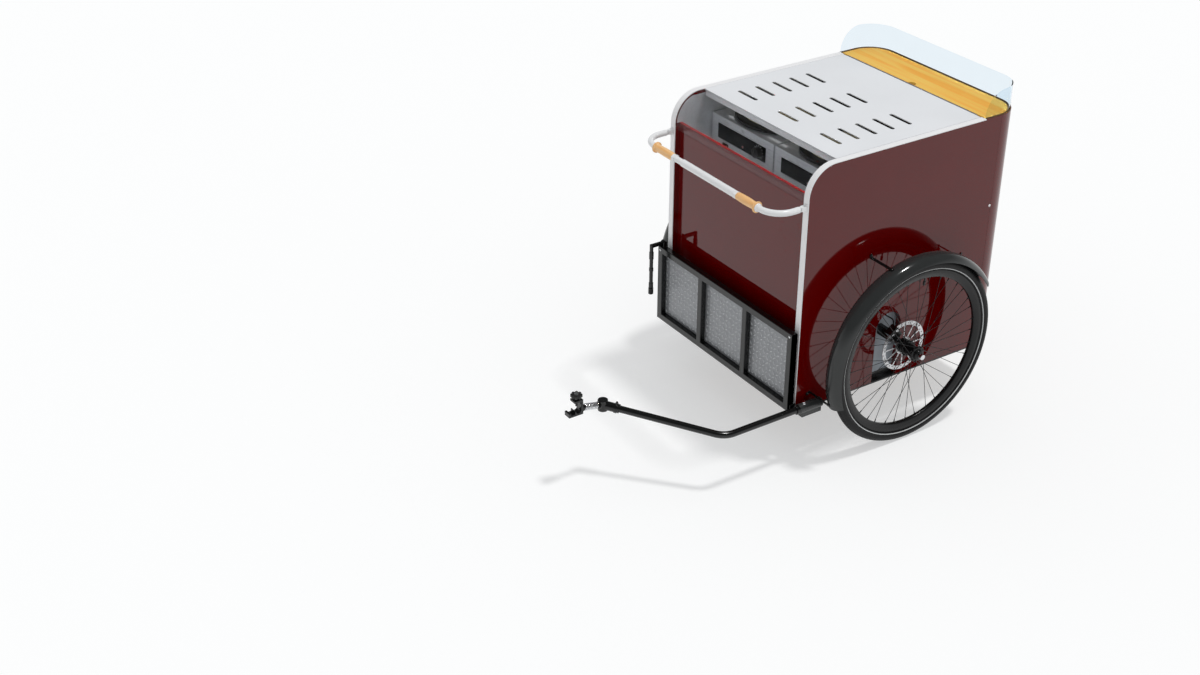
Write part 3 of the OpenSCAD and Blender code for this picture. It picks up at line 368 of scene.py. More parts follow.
BURGUNDY = Finish("burgundy_panel", (94, 0, 0), 0.02, specular=0.45, change=0.05, scale=9.0,
                  gloss_change=0.0, depth=0.0004)
# A lighter, rougher copy of the burgundy for a thin strip on the lip's top edge: a painted highlight where
# light from above catches the edge.
LIP_HIGHLIGHT_RED = Finish("burgundy_panel", (164, 8, 18), 0.3, depth=0.003, name="burgundy_lip")
WHITE_TRIM = Finish("white_trim", (250, 250, 251), 0.3, change=0.015, depth=0.01)
WHITE_LID = Finish("white_lid", (243, 245, 248), 0.14, change=0.03, scale=3.0, depth=0.002)
WHITE_METAL = Finish("white_metal", (244, 245, 246), 0.22, change=0.015, depth=0.02)
BLACK_METAL = Finish("black_metal", (15, 16, 16), 0.16, change=0.2, depth=0.02, gloss_change=0.04)
CHASSIS_BLACK = Finish("black_metal", (36, 37, 38), 0.3, change=0.1, depth=0.04, name="chassis_black")
AXLE_GREY = Finish("grey_metal", (158, 166, 174), 0.34, change=0.05, depth=0.03, name="axle_plate_grey")
SOCKET_GREY = Finish("grey_metal", (52, 54, 54), 0.26, change=0.08, depth=0.03, name="socket_grey")
FENDER_GREY = Finish("grey_fender", (48, 50, 50), 0.12, specular=0.4, change=0.04, gloss_change=0.02,
                     depth=0.004)
STAINLESS = Finish("stainless", (214, 216, 219), 0.28, metallic=0.9, change=0.05, pattern=Pattern.ALONG_Y,
                   depth=0.03, gloss_change=0.07)
# A paler, less metallic copy of the stainless, lightened to stand in for light that the lid keeps from the
# inside: painted light.
LIGHTENED_DECK_STEEL = Finish("stainless", (226, 228, 231), 0.3, metallic=0.25, change=0.04, pattern=Pattern.ALONG_Y,
                    depth=0.03, name="deck_steel")
BRIGHT_STEEL = Finish("bright_steel", (214, 215, 217), 0.16, metallic=1.0, change=0.04, depth=0.01)
CAST_SIDE = Finish("cast_plate", (22, 21, 20), 0.5, change=0.2, scale=40.0, depth=0.25, depth_scale=260.0)
FASCIA = Finish("black_fascia", (9, 9, 10), 0.12, specular=0.2, change=0.1, gloss_change=0.03, depth=0.004)
BLACK_PLASTIC = Finish("black_plastic", (18, 18, 19), 0.38, change=0.12, depth=0.05, depth_scale=900.0)
RED_LENS = Finish("red_lamp", (215, 10, 12), 0.08, coat=0.6, change=0.1, gloss_change=0.02, depth=0.004)
GREEN_ROCKER = Finish("green_rocker", (12, 78, 44), 0.2, coat=0.3, change=0.08, depth=0.006)
FOOT_RUBBER = Finish("foot_rubber", (16, 16, 16), 0.6, change=0.2, depth=0.1, depth_scale=700.0)
BLACK_ALLOY = Finish("black_alloy", (13, 13, 14), 0.26, specular=0.3, change=0.15, depth=0.02)
TREAD_ALLOY = Finish("tread_alloy", (142, 144, 147), 0.36, metallic=0.45, change=0.06, scale=30.0,
                     depth=0.05)
# A paler, glossier copy of the tread alloy for the raised lozenges: a painted highlight for the glints they
# catch.
LOZENGE_HIGHLIGHT_ALLOY = Finish("tread_alloy", (196, 198, 201), 0.26, metallic=0.5, change=0.05, depth=0.02,
                       name="lozenge_alloy")
DISC_STEEL = TurnedFinish("bright_steel", (206, 207, 209), 0.24, metallic=1.0, change=0.08, depth=0.03,
                          depth_scale=900.0, centre=(0.0, 0.0, AXLE_Z), flat=False, name="brake_disc_steel")
STRIPE = Finish("white_trim", (198, 200, 200), 0.35, change=0.08, depth=0.03, name="sidewall_stripe")
TYRE = TyreFinish("tyre_rubber", (13, 13, 14), 0.5, specular=0.22)
BOARD_WOOD = WoodFinish("board_wood", (255, 208, 96), 0.34, dark=(255, 178, 52), depth=0.05)
RIM_WOOD = WoodFinish("rim_wood", (150, 116, 72), 0.4, dark=(112, 82, 46), depth=0.06, strip=400.0)
GRIP_WOOD = WoodFinish("grip_wood", (255, 206, 146), 0.3, dark=(248, 184, 110), depth=0.05,
                       strip=400.0, line_scale=90.0)
FLOOR_WOOD = WoodFinish("floor_wood", (186, 150, 104), 0.55, dark=(140, 104, 66), depth=0.1, strip=300.0)
GUARD = SheetFinish("clear_guard", (236, 245, 251), 0.0, through=(244, 249, 252), ior=1.04)
WINDOW = SheetFinish("smoky_window", (244, 245, 246), 0.0, through=(250, 250, 250), ior=1.14)


def spot(x: float, y: float, z: float) -> Vector:
    """A point in millimetres as a vector in metres."""
    return Vector((x, y, z)) * MM


def round_axle(radius: float, angle: float, y: float) -> Point:
    """A point about the wheels' axle, in millimetres.

    Args:
        radius: Its distance from the axle.
        angle: Its angle in degrees, from the front upwards.
        y: Its place along the axle.

    Returns:
        The point.
    """
    a = math.radians(angle)
    return (radius * math.cos(a), y, AXLE_Z + radius * math.sin(a))


def add_block(bm: Mesh, low: Point, high: Point, round_off: float, segments: int = 2) -> None:
    """Add a block with rounded edges, in millimetres.

    Args:
        bm: The mesh that takes the block.
        low: The lowest corner.
        high: The highest corner.
        round_off: The radius of the edges.
        segments: Steps round an edge.
    """
    middle = (spot(*low) + spot(*high)) / 2
    size = spot(*high) - spot(*low)
    matrix = Matrix.Translation(middle) @ Matrix.Diagonal((*size, 1.0))
    made = bmesh.ops.create_cube(bm, size=1.0, matrix=matrix)
    edges = list({e for v in made["verts"] for e in v.link_edges})
    bmesh.ops.bevel(bm, geom=edges, offset=round_off * MM, offset_type="OFFSET", segments=segments,
                    profile=0.5, affect="EDGES", clamp_overlap=True, material=-1)


def add_post(bm: Mesh, start: Point, end: Point, radius: float, sides: int = 24,
             round_off: float = 0.0) -> None:
    """Add a round or many-sided post between two points, in millimetres.

    Args:
        bm: The mesh that takes the post.
        start: The middle of one end.
        end: The middle of the other end.
        radius: Radius to the corners.
        sides: Number of sides.
        round_off: Radius of the end edges.
    """
    run = spot(*end) - spot(*start)
    turn = run.to_track_quat("Z", "Y").to_matrix().to_4x4()
    matrix = Matrix.Translation((spot(*start) + spot(*end)) / 2) @ turn
    made = bmesh.ops.create_cone(bm, cap_ends=True, cap_tris=False, segments=sides, radius1=radius * MM,
                                 radius2=radius * MM, depth=run.length, matrix=matrix)
    if round_off:
        caps = {f for v in made["verts"] for f in v.link_faces if len(f.verts) == sides}
        rims = list({e for f in caps for e in f.edges})
        bmesh.ops.bevel(bm, geom=rims, offset=round_off * MM, offset_type="OFFSET", segments=2,
                        profile=0.5, affect="EDGES", clamp_overlap=True, material=-1)


def add_turned(bm: Mesh, profile: Profile, centre: Point, axis: Point, out: Point,
               steps: int = 48, sweep: float = 360.0, closed: bool = True) -> None:
    """Add a profile turned about an axis.

    Args:
        bm: The mesh that takes the shape.
        profile: Pairs of distance along the axis and radius, in millimetres.
        centre: A point on the axis.
        axis: The axis, as a unit vector; distances run along it.
        out: The direction of the radius at the start of the sweep, as a unit vector.
        steps: Steps of the turn.
        sweep: The angle turned through, right-handed about the axis.
        closed: Whether the profile's last point joins its first.
    """
    along, away = Vector(axis), Vector(out)
    verts = [bm.verts.new(spot(*centre) + along * a * MM + away * r * MM) for a, r in profile]
    pairs = list(zip(verts, verts[1:]))
    if closed:
        pairs.append((verts[-1], verts[0]))
    edges = [bm.edges.new(pair) for pair in pairs]
    whole = abs(sweep) >= 360.0
    bmesh.ops.spin(bm, geom=verts + edges, cent=spot(*centre), axis=along, dvec=(0.0, 0.0, 0.0),
                   angle=math.radians(sweep), steps=steps, use_merge=whole, use_duplicate=False)
    bmesh.ops.remove_doubles(bm, verts=bm.verts, dist=1e-6)
    if not whole:
        rims = [e for e in bm.edges if e.is_boundary]
        bmesh.ops.holes_fill(bm, edges=rims, sides=0)


def ball_arc(radius: float, start: float, end: float, count: int, along: float = 0.0,
             off: float = 0.0) -> Outline:
    """Points of an arc in a profile.

    Args:
        radius: The arc's radius in millimetres.
        start: First angle in degrees, from the radius direction towards the axis direction.
        end: Last angle.
        count: Number of points.
        along: The arc centre's distance along the axis.
        off: The arc centre's radius.

    Returns:
        Pairs of distance along the axis and radius.
    """
    angles = [math.radians(start + (end - start) * k / (count - 1)) for k in range(count)]
    return [(along + radius * math.sin(a), off + radius * math.cos(a)) for a in angles]


def tube_mesh(path: Sequence[Vector], radius: float, sides: int = 12) -> Mesh:
    """Sweep a round tube along points.

    Args:
        path: Points in metres.
        radius: The tube's radius in millimetres.
        sides: Faces round the tube.

    Returns:
        The tube, with closed ends.
    """
    curve = bpy.data.curves.new("tube_path", "CURVE")
    curve.dimensions = "3D"
    curve.bevel_depth = radius * MM
    curve.bevel_resolution = max(sides // 2 - 2, 1)
    curve.use_fill_caps = True
    line = curve.splines.new("POLY")
    line.points.add(len(path) - 1)
    for point, place in zip(line.points, path):
        point.co = (*place, 1.0)
    holder = bpy.data.objects.new("tube_path", curve)
    bpy.context.scene.collection.objects.link(holder)
    bpy.context.view_layer.update()
    shown = holder.evaluated_get(bpy.context.evaluated_depsgraph_get())
    bm = bmesh.new()
    mesh = bpy.data.meshes.new_from_object(shown)
    bm.from_mesh(mesh)
    bpy.data.objects.remove(holder)
    bpy.data.curves.remove(curve)
    bpy.data.meshes.remove(mesh)
    bmesh.ops.remove_doubles(bm, verts=bm.verts, dist=1e-7)
    return bm


class Assembly:
    """Shared ways of dressing nodes and adding pieces."""

    def shape(self, bm: Mesh, name: str, finish: Finish, corner: float = 40.0,
              even_faces: bool = False) -> bpy.types.Object:
        """Make an object of a mesh and give it its finish.

        Args:
            bm: The piece's mesh, in the shared frame; it is freed.
            name: The piece's name.
            finish: Its finish.
            corner: Edges sharper than this angle stay sharp in the shading.
            even_faces: Whether large faces keep their own shading beside rounded edges.

        Returns:
            The piece, which rides on nothing yet.
        """
        bmesh.ops.recalc_face_normals(bm, faces=bm.faces)
        mesh = bpy.data.meshes.new(name)
        bm.to_mesh(mesh)
        bm.free()
        mesh.shade_smooth()
        mesh.set_sharp_from_angle(angle=math.radians(corner))
        piece = bpy.data.objects.new(name, mesh)
        bpy.context.scene.collection.objects.link(piece)
        mesh.materials.append(finish.material())
        if even_faces:
            weighted = piece.modifiers.new("even_faces", "WEIGHTED_NORMAL")
            weighted.keep_sharp = True
        return piece

    def add(self, bm: Mesh, name: str, body: str, finish: Finish, replaces: Sequence[str] = (),
            corner: float = 40.0, even_faces: bool = False) -> bpy.types.Object:
        """Make a piece of a mesh and hand it to its body.

        Args:
            bm: The piece's mesh, as in shape.
            name: The piece's name.
            body: The body that it moves with.
            finish: Its finish.
            replaces: Nodes that it stands for.
            corner: The shading's sharp angle, as in shape.
            even_faces: The shading's even faces, as in shape.

        Returns:
            The piece.
        """
        piece = self.shape(bm, name, finish, corner, even_faces)
        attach(piece, body)
        if replaces:
            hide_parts(*replaces)
        LOG.info("added %s on %s, %d faces", name, body, len(piece.data.polygons))
        return piece

    def block(self, corners: Block, round_off: float, name: str, body: str, finish: Finish) -> None:
        """Add a piece that is one block with rounded edges, between two corners in millimetres."""
        bm = bmesh.new()
        add_block(bm, *corners, round_off)
        self.add(bm, name, body, finish)

    def soften_all(self, table: dict[str, tuple[Finish, float]]) -> None:
        """Soften each node of a table, with its finish and its width of rounding."""
        for node, (finish, width) in table.items():
            self.soften(node, finish, width)

    def merged(self, node: str) -> Mesh:
        """A merged copy of a node's mesh, with its flat faces joined."""
        bm = bmesh.new()
        bm.from_mesh(frame["nodes"][node].data)
        bmesh.ops.remove_doubles(bm, verts=bm.verts, dist=2e-6)
        bmesh.ops.dissolve_limit(bm, angle_limit=math.radians(0.3), use_dissolve_boundaries=False,
                                 verts=bm.verts, edges=bm.edges, delimit=set())
        return bm

    def soften(self, node: str, finish: Finish, width: float = 0.8, segments: int = 2,
               corner: float = 32.0) -> bpy.types.Object:
        """Replace a node by a copy with rounded edges.

        Args:
            node: The node.
            finish: Its finish.
            width: Width of the rounding in millimetres.
            segments: Steps round an edge.
            corner: Edges sharper than this angle are rounded.

        Returns:
            The softened piece.
        """
        bm = self.merged(node)
        limit = math.radians(corner)
        sharp = [e for e in bm.edges if len(e.link_faces) == 2 and e.calc_face_angle(0.0) > limit]
        if width and sharp:
            bmesh.ops.bevel(bm, geom=sharp, offset=width * MM, offset_type="OFFSET", segments=segments,
                            profile=0.5, affect="EDGES", clamp_overlap=False, material=-1)
        body = frame["nodes"][node]["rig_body"]
        return self.add(bm, f"{node}_soft", body, finish, (node,), corner=50.0, even_faces=True)


@dataclass
class Studio:
    """The floor, the light and the camera at the photograph's viewing angle."""

    camera_at: Point = (3.6099, 4.0902, 3.2978)
    tilt: float = 59.827
    heading: float = 147.242
    lens: float = 49.47
    ambient: float = 0.5
    sun_from: Point = (-0.25, 0.16, 0.95)
    sun_share: float = 0.44
    sun_spread: float = 7.0
    ceiling: float = 0.1
    floor_glow: float = 0.48
    floor_tone: float = 0.56

    def build(self) -> None:
        """Make the camera, the world, the sun and the floor."""
        scene = bpy.context.scene
        scene.view_settings.view_transform = "Standard"
        data = bpy.data.cameras.new("camera")
        data.lens = self.lens
        data.sensor_width = 36.0
        data.clip_end = 60.0
        camera = bpy.data.objects.new("camera", data)
        camera.location = self.camera_at
        camera.rotation_euler = (math.radians(self.tilt), 0.0, math.radians(self.heading))
        scene.collection.objects.link(camera)
        scene.camera = camera
        self.light(scene)
        self.floor()

    def seen(self, bench: NodeBench) -> Socket:
        """1 for rays from the camera, mirrors and clear sheets, and 0 for others."""
        path = bench.node("ShaderNodeLightPath").outputs
        first = bench.math("MAXIMUM", path["Is Camera Ray"], path["Is Glossy Ray"])
        return bench.math("MAXIMUM", first, path["Is Transmission Ray"])

    def light(self, scene: bpy.types.Scene) -> None:
        """Make a soft sun and an even world, white where it is seen, with a dim ceiling in mirrors."""
        world = bpy.data.worlds.new("studio")
        world.use_nodes = True
        scene.world = world
        bench = NodeBench(world.node_tree)
        tint = {"Color": COOL_WHITE}
        way = bench.node("ShaderNodeTexCoord").outputs["Generated"]
        up = bench.node("ShaderNodeSeparateXYZ", {"Vector": way}).outputs["Z"]
        dim = bench.node("ShaderNodeBackground", {**tint, "Strength": self.ambient})
        white = bench.node("ShaderNodeBackground", {"Color": (1.0, 1.0, 1.0, 1.0), "Strength": 1.0})
        strength = bench.spread(up, 1.0, self.ceiling, 0.0, 0.4)
        room = bench.node("ShaderNodeBackground", {**tint, "Strength": strength})
        mirror = bench.node("ShaderNodeLightPath").outputs["Is Glossy Ray"]
        shown = bench.choose(mirror, white.outputs[0], room.outputs[0])
        both = bench.choose(self.seen(bench), dim.outputs[0], shown)
        bench.node("ShaderNodeOutputWorld", {"Surface": both})
        data = bpy.data.lights.new("soft_sun", "SUN")
        data.energy = self.sun_share * math.pi
        data.angle = math.radians(self.sun_spread)
        sun = bpy.data.objects.new("soft_sun", data)
        sun.rotation_euler = Vector(self.sun_from).to_track_quat("Z", "Y").to_euler()
        scene.collection.objects.link(sun)

    def floor(self) -> None:
        """Make a pale floor that keeps the shadow."""
        bm = bmesh.new()
        bmesh.ops.create_grid(bm, x_segments=2, y_segments=2, size=30.0)
        mesh = bpy.data.meshes.new("floor")
        bm.to_mesh(mesh)
        bm.free()
        finish = bpy.data.materials.new("pale_floor")
        finish.use_nodes = True
        bench = NodeBench(finish.node_tree)
        plain = bench.node("ShaderNodeBsdfDiffuse", {"Color": (0.8, 0.8, 0.8, 1.0)})
        tone = self.floor_tone
        lit = bench.node("ShaderNodeBsdfDiffuse", {"Color": (tone, tone, tone * 0.99, 1.0)})
        glow = bench.node("ShaderNodeEmission", {"Color": COOL_WHITE, "Strength": self.floor_glow})
        both = bench.node("ShaderNodeAddShader", {0: lit.outputs[0], 1: glow.outputs[0]})
        shown = bench.choose(self.seen(bench), plain.outputs[0], both.outputs[0])
        bench.node("ShaderNodeOutputMaterial", {"Surface": shown})
        mesh.materials.append(finish)
        floor = bpy.data.objects.new("floor", mesh)
        bpy.context.scene.collection.objects.link(floor)


@dataclass
class BodyShell(Assembly):
    """Chassis, panels and white edging."""

    cap_at: tuple[float, float] = (-412.0, 765.0)
    cap_r: float = 5.0
    rounded: dict[str, tuple[Finish, float]] = field(default_factory=lambda: {
        "chassis_frame": (CHASSIS_BLACK, 1.2),
        "floor_panel": (FLOOR_WOOD, 0.5),
        "axle_plates": (AXLE_GREY, 0.8),
        "stub_axles": (BRIGHT_STEEL, 0.8),
        "side_panel_left": (BURGUNDY, 0.6),
        "side_panel_right": (BURGUNDY, 0.6),
        "edge_trims": (WHITE_TRIM, 1.2),
        "rear_panel": (BURGUNDY, 0.6),
        "front_panel": (BURGUNDY, 0.6),
        "lip_rail": (BURGUNDY, 0.8),
    })
    # A thin strip along the lip's top edge, in lighter red as a painted highlight.
    lip_edge: Block = ((392.4, -364.0, 999.2), (403.6, 364.0, 1000.4))

    def build(self) -> None:
        """Round every panel's edges, add a brighter red strip on the lip's top edge as a painted highlight,
        and add the caps.
        """
        self.soften_all(self.rounded)
        self.block(self.lip_edge, 0.4, "lip_edging", "cart", LIP_HIGHLIGHT_RED)
        self.caps()

    def caps(self) -> None:
        """Domed screw caps on the side panels."""
        bm = bmesh.new()
        (x, z), r = self.cap_at, self.cap_r
        dome = [(0.0, r), (0.8, r), (1.6, r - 1.2), (2.0, r - 2.8), (2.0, 0.0)]
        for side in Side:
            s = side.value
            add_turned(bm, dome, (x, s * PANEL_Y, z), (0, s, 0), (1, 0, 0), 24, closed=False)
        self.add(bm, "side_caps_domed", "cart", WHITE_TRIM, ("side_caps",))


@dataclass
class WheelCover(Assembly):
    """Fenders and their straps."""

    fender_r: float = 376.0
    strap_t: float = 3.0
    bow: float = 44.0
    fender_t: float = 2.0
    fender_half: float = 40.0
    fender_span: tuple[float, float] = (-18.5, 148.0)
    strap_angles: tuple[float, ...] = (-16.0, 70.0, 140.0)
    foot_rise: float = 11.0
    crown_in: float = 8.0
    head_sink: float = 0.1

    def build(self) -> None:
        """Turn the fenders and bolt the straps."""
        self.fenders()
        self.soften("fender_straps", BLACK_METAL, 0.6)
        self.bolts()

    def fender_profile(self) -> Outline:
        """A bowed section."""
        off = self.fender_r - self.bow
        reach = math.degrees(math.asin(self.fender_half / self.bow))
        inner = self.bow - self.fender_t
        outside = ball_arc(self.bow, -reach, reach, 29, WHEEL_Y, off)
        inside = ball_arc(inner, reach, -reach, 25, WHEEL_Y, off)
        return outside + inside

    def fenders(self) -> None:
        """Turn the bowed section about the axle on both sides."""
        bm = bmesh.new()
        first, last = self.fender_span
        start = math.radians(first)
        out = (math.cos(start), 0.0, math.sin(start))
        for side in Side:
            s = side.value
            axle = (0.0, 0.0, AXLE_Z)
            add_turned(bm, self.fender_profile(), axle, (0.0, s, 0.0), out, 120, -s * (last - first))
        self.add(bm, "fenders_turned", "cart", FENDER_GREY, ("fenders",), corner=35.0)

    def bolts(self) -> None:
        """Round-headed bolts where the straps meet panel and fender."""
        bm = bmesh.new()
        head = [(0.0, 5.0), (1.2, 4.8), (2.2, 3.6), (2.8, 1.8), (2.9, 0.0)]
        seat = self.strap_t - self.head_sink
        for side in Side:
            s = side.value
            for angle in self.strap_angles:
                a = math.radians(angle)
                away = (math.cos(a), 0.0, math.sin(a))
                foot = round_axle(self.fender_r + self.foot_rise, angle, s * (PANEL_Y + seat))
                crown = round_axle(self.fender_r + seat, angle, s * (WHEEL_Y - self.crown_in))
                add_turned(bm, head, foot, (0.0, s, 0.0), away, 20, closed=False)
                add_turned(bm, head, crown, away, (0.0, 1.0, 0.0), 20, closed=False)
        self.add(bm, "strap_bolts", "cart", BLACK_METAL)


@dataclass
class Brakes(Assembly):
    """Calipers and the short hoses that feed them."""

    hose: tuple[Point, ...] = ((38, 435, 411.5), (38, 435, 471.5), (24, 425, 445.5), (24, 365, 445.5))
    hose_d: float = 5.0
    ferrule_y: float = 365.2
    angle: float = 52.0
    bolt_r: float = 96.0
    bolt_off: float = 11.0
    face_y: float = 468.0

    def build(self) -> None:
        """Round the calipers, sweep the hoses and add the bolts."""
        self.soften("brake_calipers", BLACK_METAL, 1.6, 3)
        for side in Side:
            self.sweep_hose(side)
        self.bolts()

    def hose_path(self, side: Side, count: int = 28) -> list[Vector]:
        """Points along one hose, in metres."""
        a, b, c, d = (spot(x, side.value * y, z) for x, y, z in self.hose)
        shares = [k / (count - 1) for k in range(count)]
        return [a * (1 - t) ** 3 + 3 * b * t * (1 - t) ** 2 + 3 * c * t * t * (1 - t) + d * t ** 3
                for t in shares]

    def sweep_hose(self, side: Side) -> None:
        """One hose with its end ferrules."""
        path = self.hose_path(side)
        bm = tube_mesh(path, self.hose_d / 2, 16)
        nodes = ("brake_hoses",) if side is Side.LEFT else ()
        hose = self.add(bm, f"brake_hose_{side.word}", "cart", BLACK_PLASTIC, nodes)
        bm = bmesh.new()
        first, last = path[0] / MM, path[-1] / MM
        sleeve = [(0.0, 2.4), (0.0, 4.4), (6.0, 4.4), (7.0, 3.6), (9.0, 3.4), (9.0, 2.4)]
        add_turned(bm, sleeve, tuple(first), (0, 0, 1), (1, 0, 0), 20)
        at = (last[0], side.value * self.ferrule_y, last[2])
        add_turned(bm, sleeve, at, (0, side.value, 0), (1, 0, 0), 20)
        self.add(bm, f"hose_ferrules_{side.word}", "cart", BRIGHT_STEEL)

    def bolts(self) -> None:
        """Two socket-headed bolts on each caliper's outer face."""
        bm = bmesh.new()
        a = math.radians(self.angle)
        head = [(0.0, 5.5), (2.2, 5.5), (2.8, 4.9), (2.8, 2.6), (1.2, 2.6), (1.2, 0.0)]
        for side in Side:
            s = side.value
            for off in (self.bolt_off, -self.bolt_off):
                x = self.bolt_r * math.cos(a) - off * math.sin(a)
                z = self.bolt_r * math.sin(a) + off * math.cos(a)
                at = (x, s * self.face_y, AXLE_Z + z)
                add_turned(bm, head, at, (0, s, 0), (1, 0, 0), 24, closed=False)
        self.add(bm, "caliper_bolts", "cart", BRIGHT_STEEL)


@dataclass
class Wheel(Assembly):
    """A spoked wheel with its tyre, hub and brake disc."""

    side: Side
    tyre_r: float = 332.0
    section: float = 21.0
    wall: float = 4.0
    rim_r: float = 314.0
    rim_in: float = 285.0
    half: float = 13.0
    nose: float = 7.0
    bore: float = 8.3
    spoke_count: int = 36
    lean: float = 52.0
    hole_r: float = 26.0
    flanges: tuple[float, float] = (-22.0, 26.0)
    head: float = 3.7
    spoke_rim_y: float = 2.0
    valve_angle: float = 95.0
    disc_in: float = 48.0
    disc_bolt_r: float = 24.6
    disc_bolt_count: int = 6

    @property
    def body(self) -> str:
        """The wheel's body."""
        return f"wheel_{self.side.word}"

    def build(self) -> None:
        """Turn the tyre, rim and hub and add the small parts."""
        word = self.side.word
        self.turn(self.tyre_profile(), f"tyre_turned_{word}", TYRE, f"tyre_{word}", 144)
        self.turn(self.stripe_profile(), f"tyre_stripe_{word}", STRIPE, None, 144)
        self.turn(self.rim_profile(), f"rim_turned_{word}", BLACK_ALLOY, f"rim_{word}", 144)
        self.turn(self.hub_profile(), f"hub_turned_{word}", BLACK_ALLOY, f"hub_{word}", 64)
        self.spokes()
        self.valve()
        self.soften(f"brake_disc_{word}", DISC_STEEL, 0.3, 1)
        self.disc_bolts()

    def turn(self, profile: Profile, name: str, finish: Finish, node: str | None, steps: int) -> None:
        """Turn one closed profile about the axle.

        Args:
            profile: Pairs of distance out from the wheel's middle plane and radius.
            name: The piece's name.
            finish: Its finish.
            node: The node that it stands for, if any.
            steps: Steps of the turn.
        """
        bm = bmesh.new()
        s = self.side.value
        add_turned(bm, profile, (0.0, s * WHEEL_Y, AXLE_Z), (0.0, s, 0.0), (1, 0, 0), steps)
        self.add(bm, name, self.body, finish, (node,) if node else (), corner=38.0)

    def tyre_profile(self) -> Outline:
        """A round section with shallow tread grooves and open beads."""
        outer = []
        for k in range(-74, 75):
            a = math.radians(2.0 * k)
            groove = 1.3 if abs(2 * k) in (12, 14, 28, 30) else 0.0
            shoulder = 0.35 if abs(2 * k) in (44, 46) else 0.0
            r = self.section - groove - shoulder
            outer.append((r * math.sin(a), self.tyre_r + r * math.cos(a)))
        inner = ball_arc(self.section - self.wall, 150.0, -150.0, 41, 0.0, self.tyre_r)
        return outer + inner

    def stripe_profile(self) -> Outline:
        """A thin band that lies on the outer sidewall."""
        top = ball_arc(self.section + 0.18, 118.0, 127.0, 7, 0.0, self.tyre_r)
        under = ball_arc(self.section - 0.3, 127.0, 118.0, 4, 0.0, self.tyre_r)
        return top + under

    def rim_profile(self) -> Outline:
        """A deep rim with rounded flanks and a bead seat."""
        h, r = self.half, self.rim_r
        right = [(h - 4.0, r - 8.0), (h - 4.0, r - 1.0), (h - 3.0, r), (h - 0.8, r), (h, r - 1.0),
                 (h, r - 10.0), (h - 0.5, r - 12.0), (h - 2.2, r - 18.0), (h - 4.4, r - 24.5),
                 (self.nose - 0.6, r - 28.2), (self.nose - 2.6, self.rim_in)]
        left = [(-y, q) for y, q in reversed(right)]
        return right + left

    def hub_profile(self) -> Outline:
        """A ribbed barrel between two flanges, with a seat for the disc."""
        b, low = self.bore, 20.4
        points = [(-64.0, b), (-64.0, 17.0), (-62.5, 18.5), (-48.0, 18.5), (-46.0, 26.0), (-45.0, 27.0),
                  (-42.6, 27.0), (-42.0, 26.0), (-41.0, 21.0), (-26.0, 21.0), (-24.2, 28.6), (-23.2, 29.8),
                  (-20.8, 29.8), (-19.8, 28.6), (-18.5, 22.0)]
        for k in range(6):
            y = -15.0 + 6.0 * k
            points += [(y, 22.0), (y + 0.7, low), (y + 2.7, low), (y + 3.4, 22.0)]
        points += [(22.0, 22.0), (23.8, 28.6), (24.8, 29.8), (27.2, 29.8), (28.2, 28.6), (29.4, 20.0),
                   (36.0, 19.0), (39.0, 17.0), (40.0, 15.0), (40.0, b)]
        return points

    def spoke_ends(self) -> list[tuple[Point, Point]]:
        """Each spoke's flange end and rim end, in millimetres."""
        ends = []
        per_flange = self.spoke_count // 2
        step = 360.0 / per_flange
        for index, flange in enumerate(self.flanges):
            for k in range(per_flange):
                sign = 1 if k % 2 == 0 else -1
                angle = step * (k + index / 2)
                hub_y = self.side.value * (WHEEL_Y + flange + sign * self.head)
                rim_y = self.side.value * (WHEEL_Y + math.copysign(self.spoke_rim_y, flange))
                ends.append((round_axle(self.hole_r, angle - sign * self.lean, hub_y),
                             round_axle(self.rim_in, angle, rim_y)))
        return ends

    def spokes(self) -> None:
        """Thin spokes, their nipples at the rim and their heads at the hub."""
        wires, nipples = bmesh.new(), bmesh.new()
        for start, end in self.spoke_ends():
            a, b = Vector(start), Vector(end)
            run = (b - a).normalized()
            add_post(wires, tuple(a), tuple(b), 1.0, 10)
            add_post(nipples, tuple(b - run * 11.0), tuple(b + run * 1.5), 2.0, 10, 0.3)
            inward = -math.copysign(1.0, start[1] - self.side.value * WHEEL_Y)
            add_post(nipples, (a.x, a.y + inward * 1.2, a.z), (a.x, a.y - inward * 1.2, a.z), 1.9, 10, 0.3)
        word = self.side.word
        self.add(wires, f"spokes_drawn_{word}", self.body, BLACK_ALLOY, (f"spokes_{word}",))
        self.add(nipples, f"spoke_nipples_{word}", self.body, BLACK_ALLOY)

    def valve(self) -> None:
        """The tyre's valve with its cap, at the rim's inner edge."""
        bm = bmesh.new()
        a = math.radians(self.valve_angle)
        inward = (-math.cos(a), 0.0, -math.sin(a))
        at = round_axle(self.rim_in, self.valve_angle, self.side.value * WHEEL_Y)
        stem = [(-2.0, 3.0), (14.0, 3.0), (14.2, 4.4), (15.0, 4.8), (27.0, 4.6), (29.0, 3.6), (29.4, 0.0)]
        add_turned(bm, stem, at, inward, (0, 1, 0), 20, closed=False)
        self.add(bm, f"tyre_valve_{self.side.word}", self.body, BLACK_PLASTIC)

    def disc_bolts(self) -> None:
        """The bolts that hold the disc to the hub."""
        bm = bmesh.new()
        s = self.side.value
        head = [(0.0, 2.6), (1.4, 2.5), (2.0, 1.8), (2.0, 1.0), (1.2, 0.9), (1.2, 0.0)]
        step = 360.0 / self.disc_bolt_count
        for k in range(self.disc_bolt_count):
            at = round_axle(self.disc_bolt_r, step * (k + 0.5), s * (WHEEL_Y - self.disc_in))
            add_turned(bm, head, at, (0, -s, 0), (1, 0, 0), 16, closed=False)
        self.add(bm, f"disc_bolts_{self.side.word}", self.body, BRIGHT_STEEL)


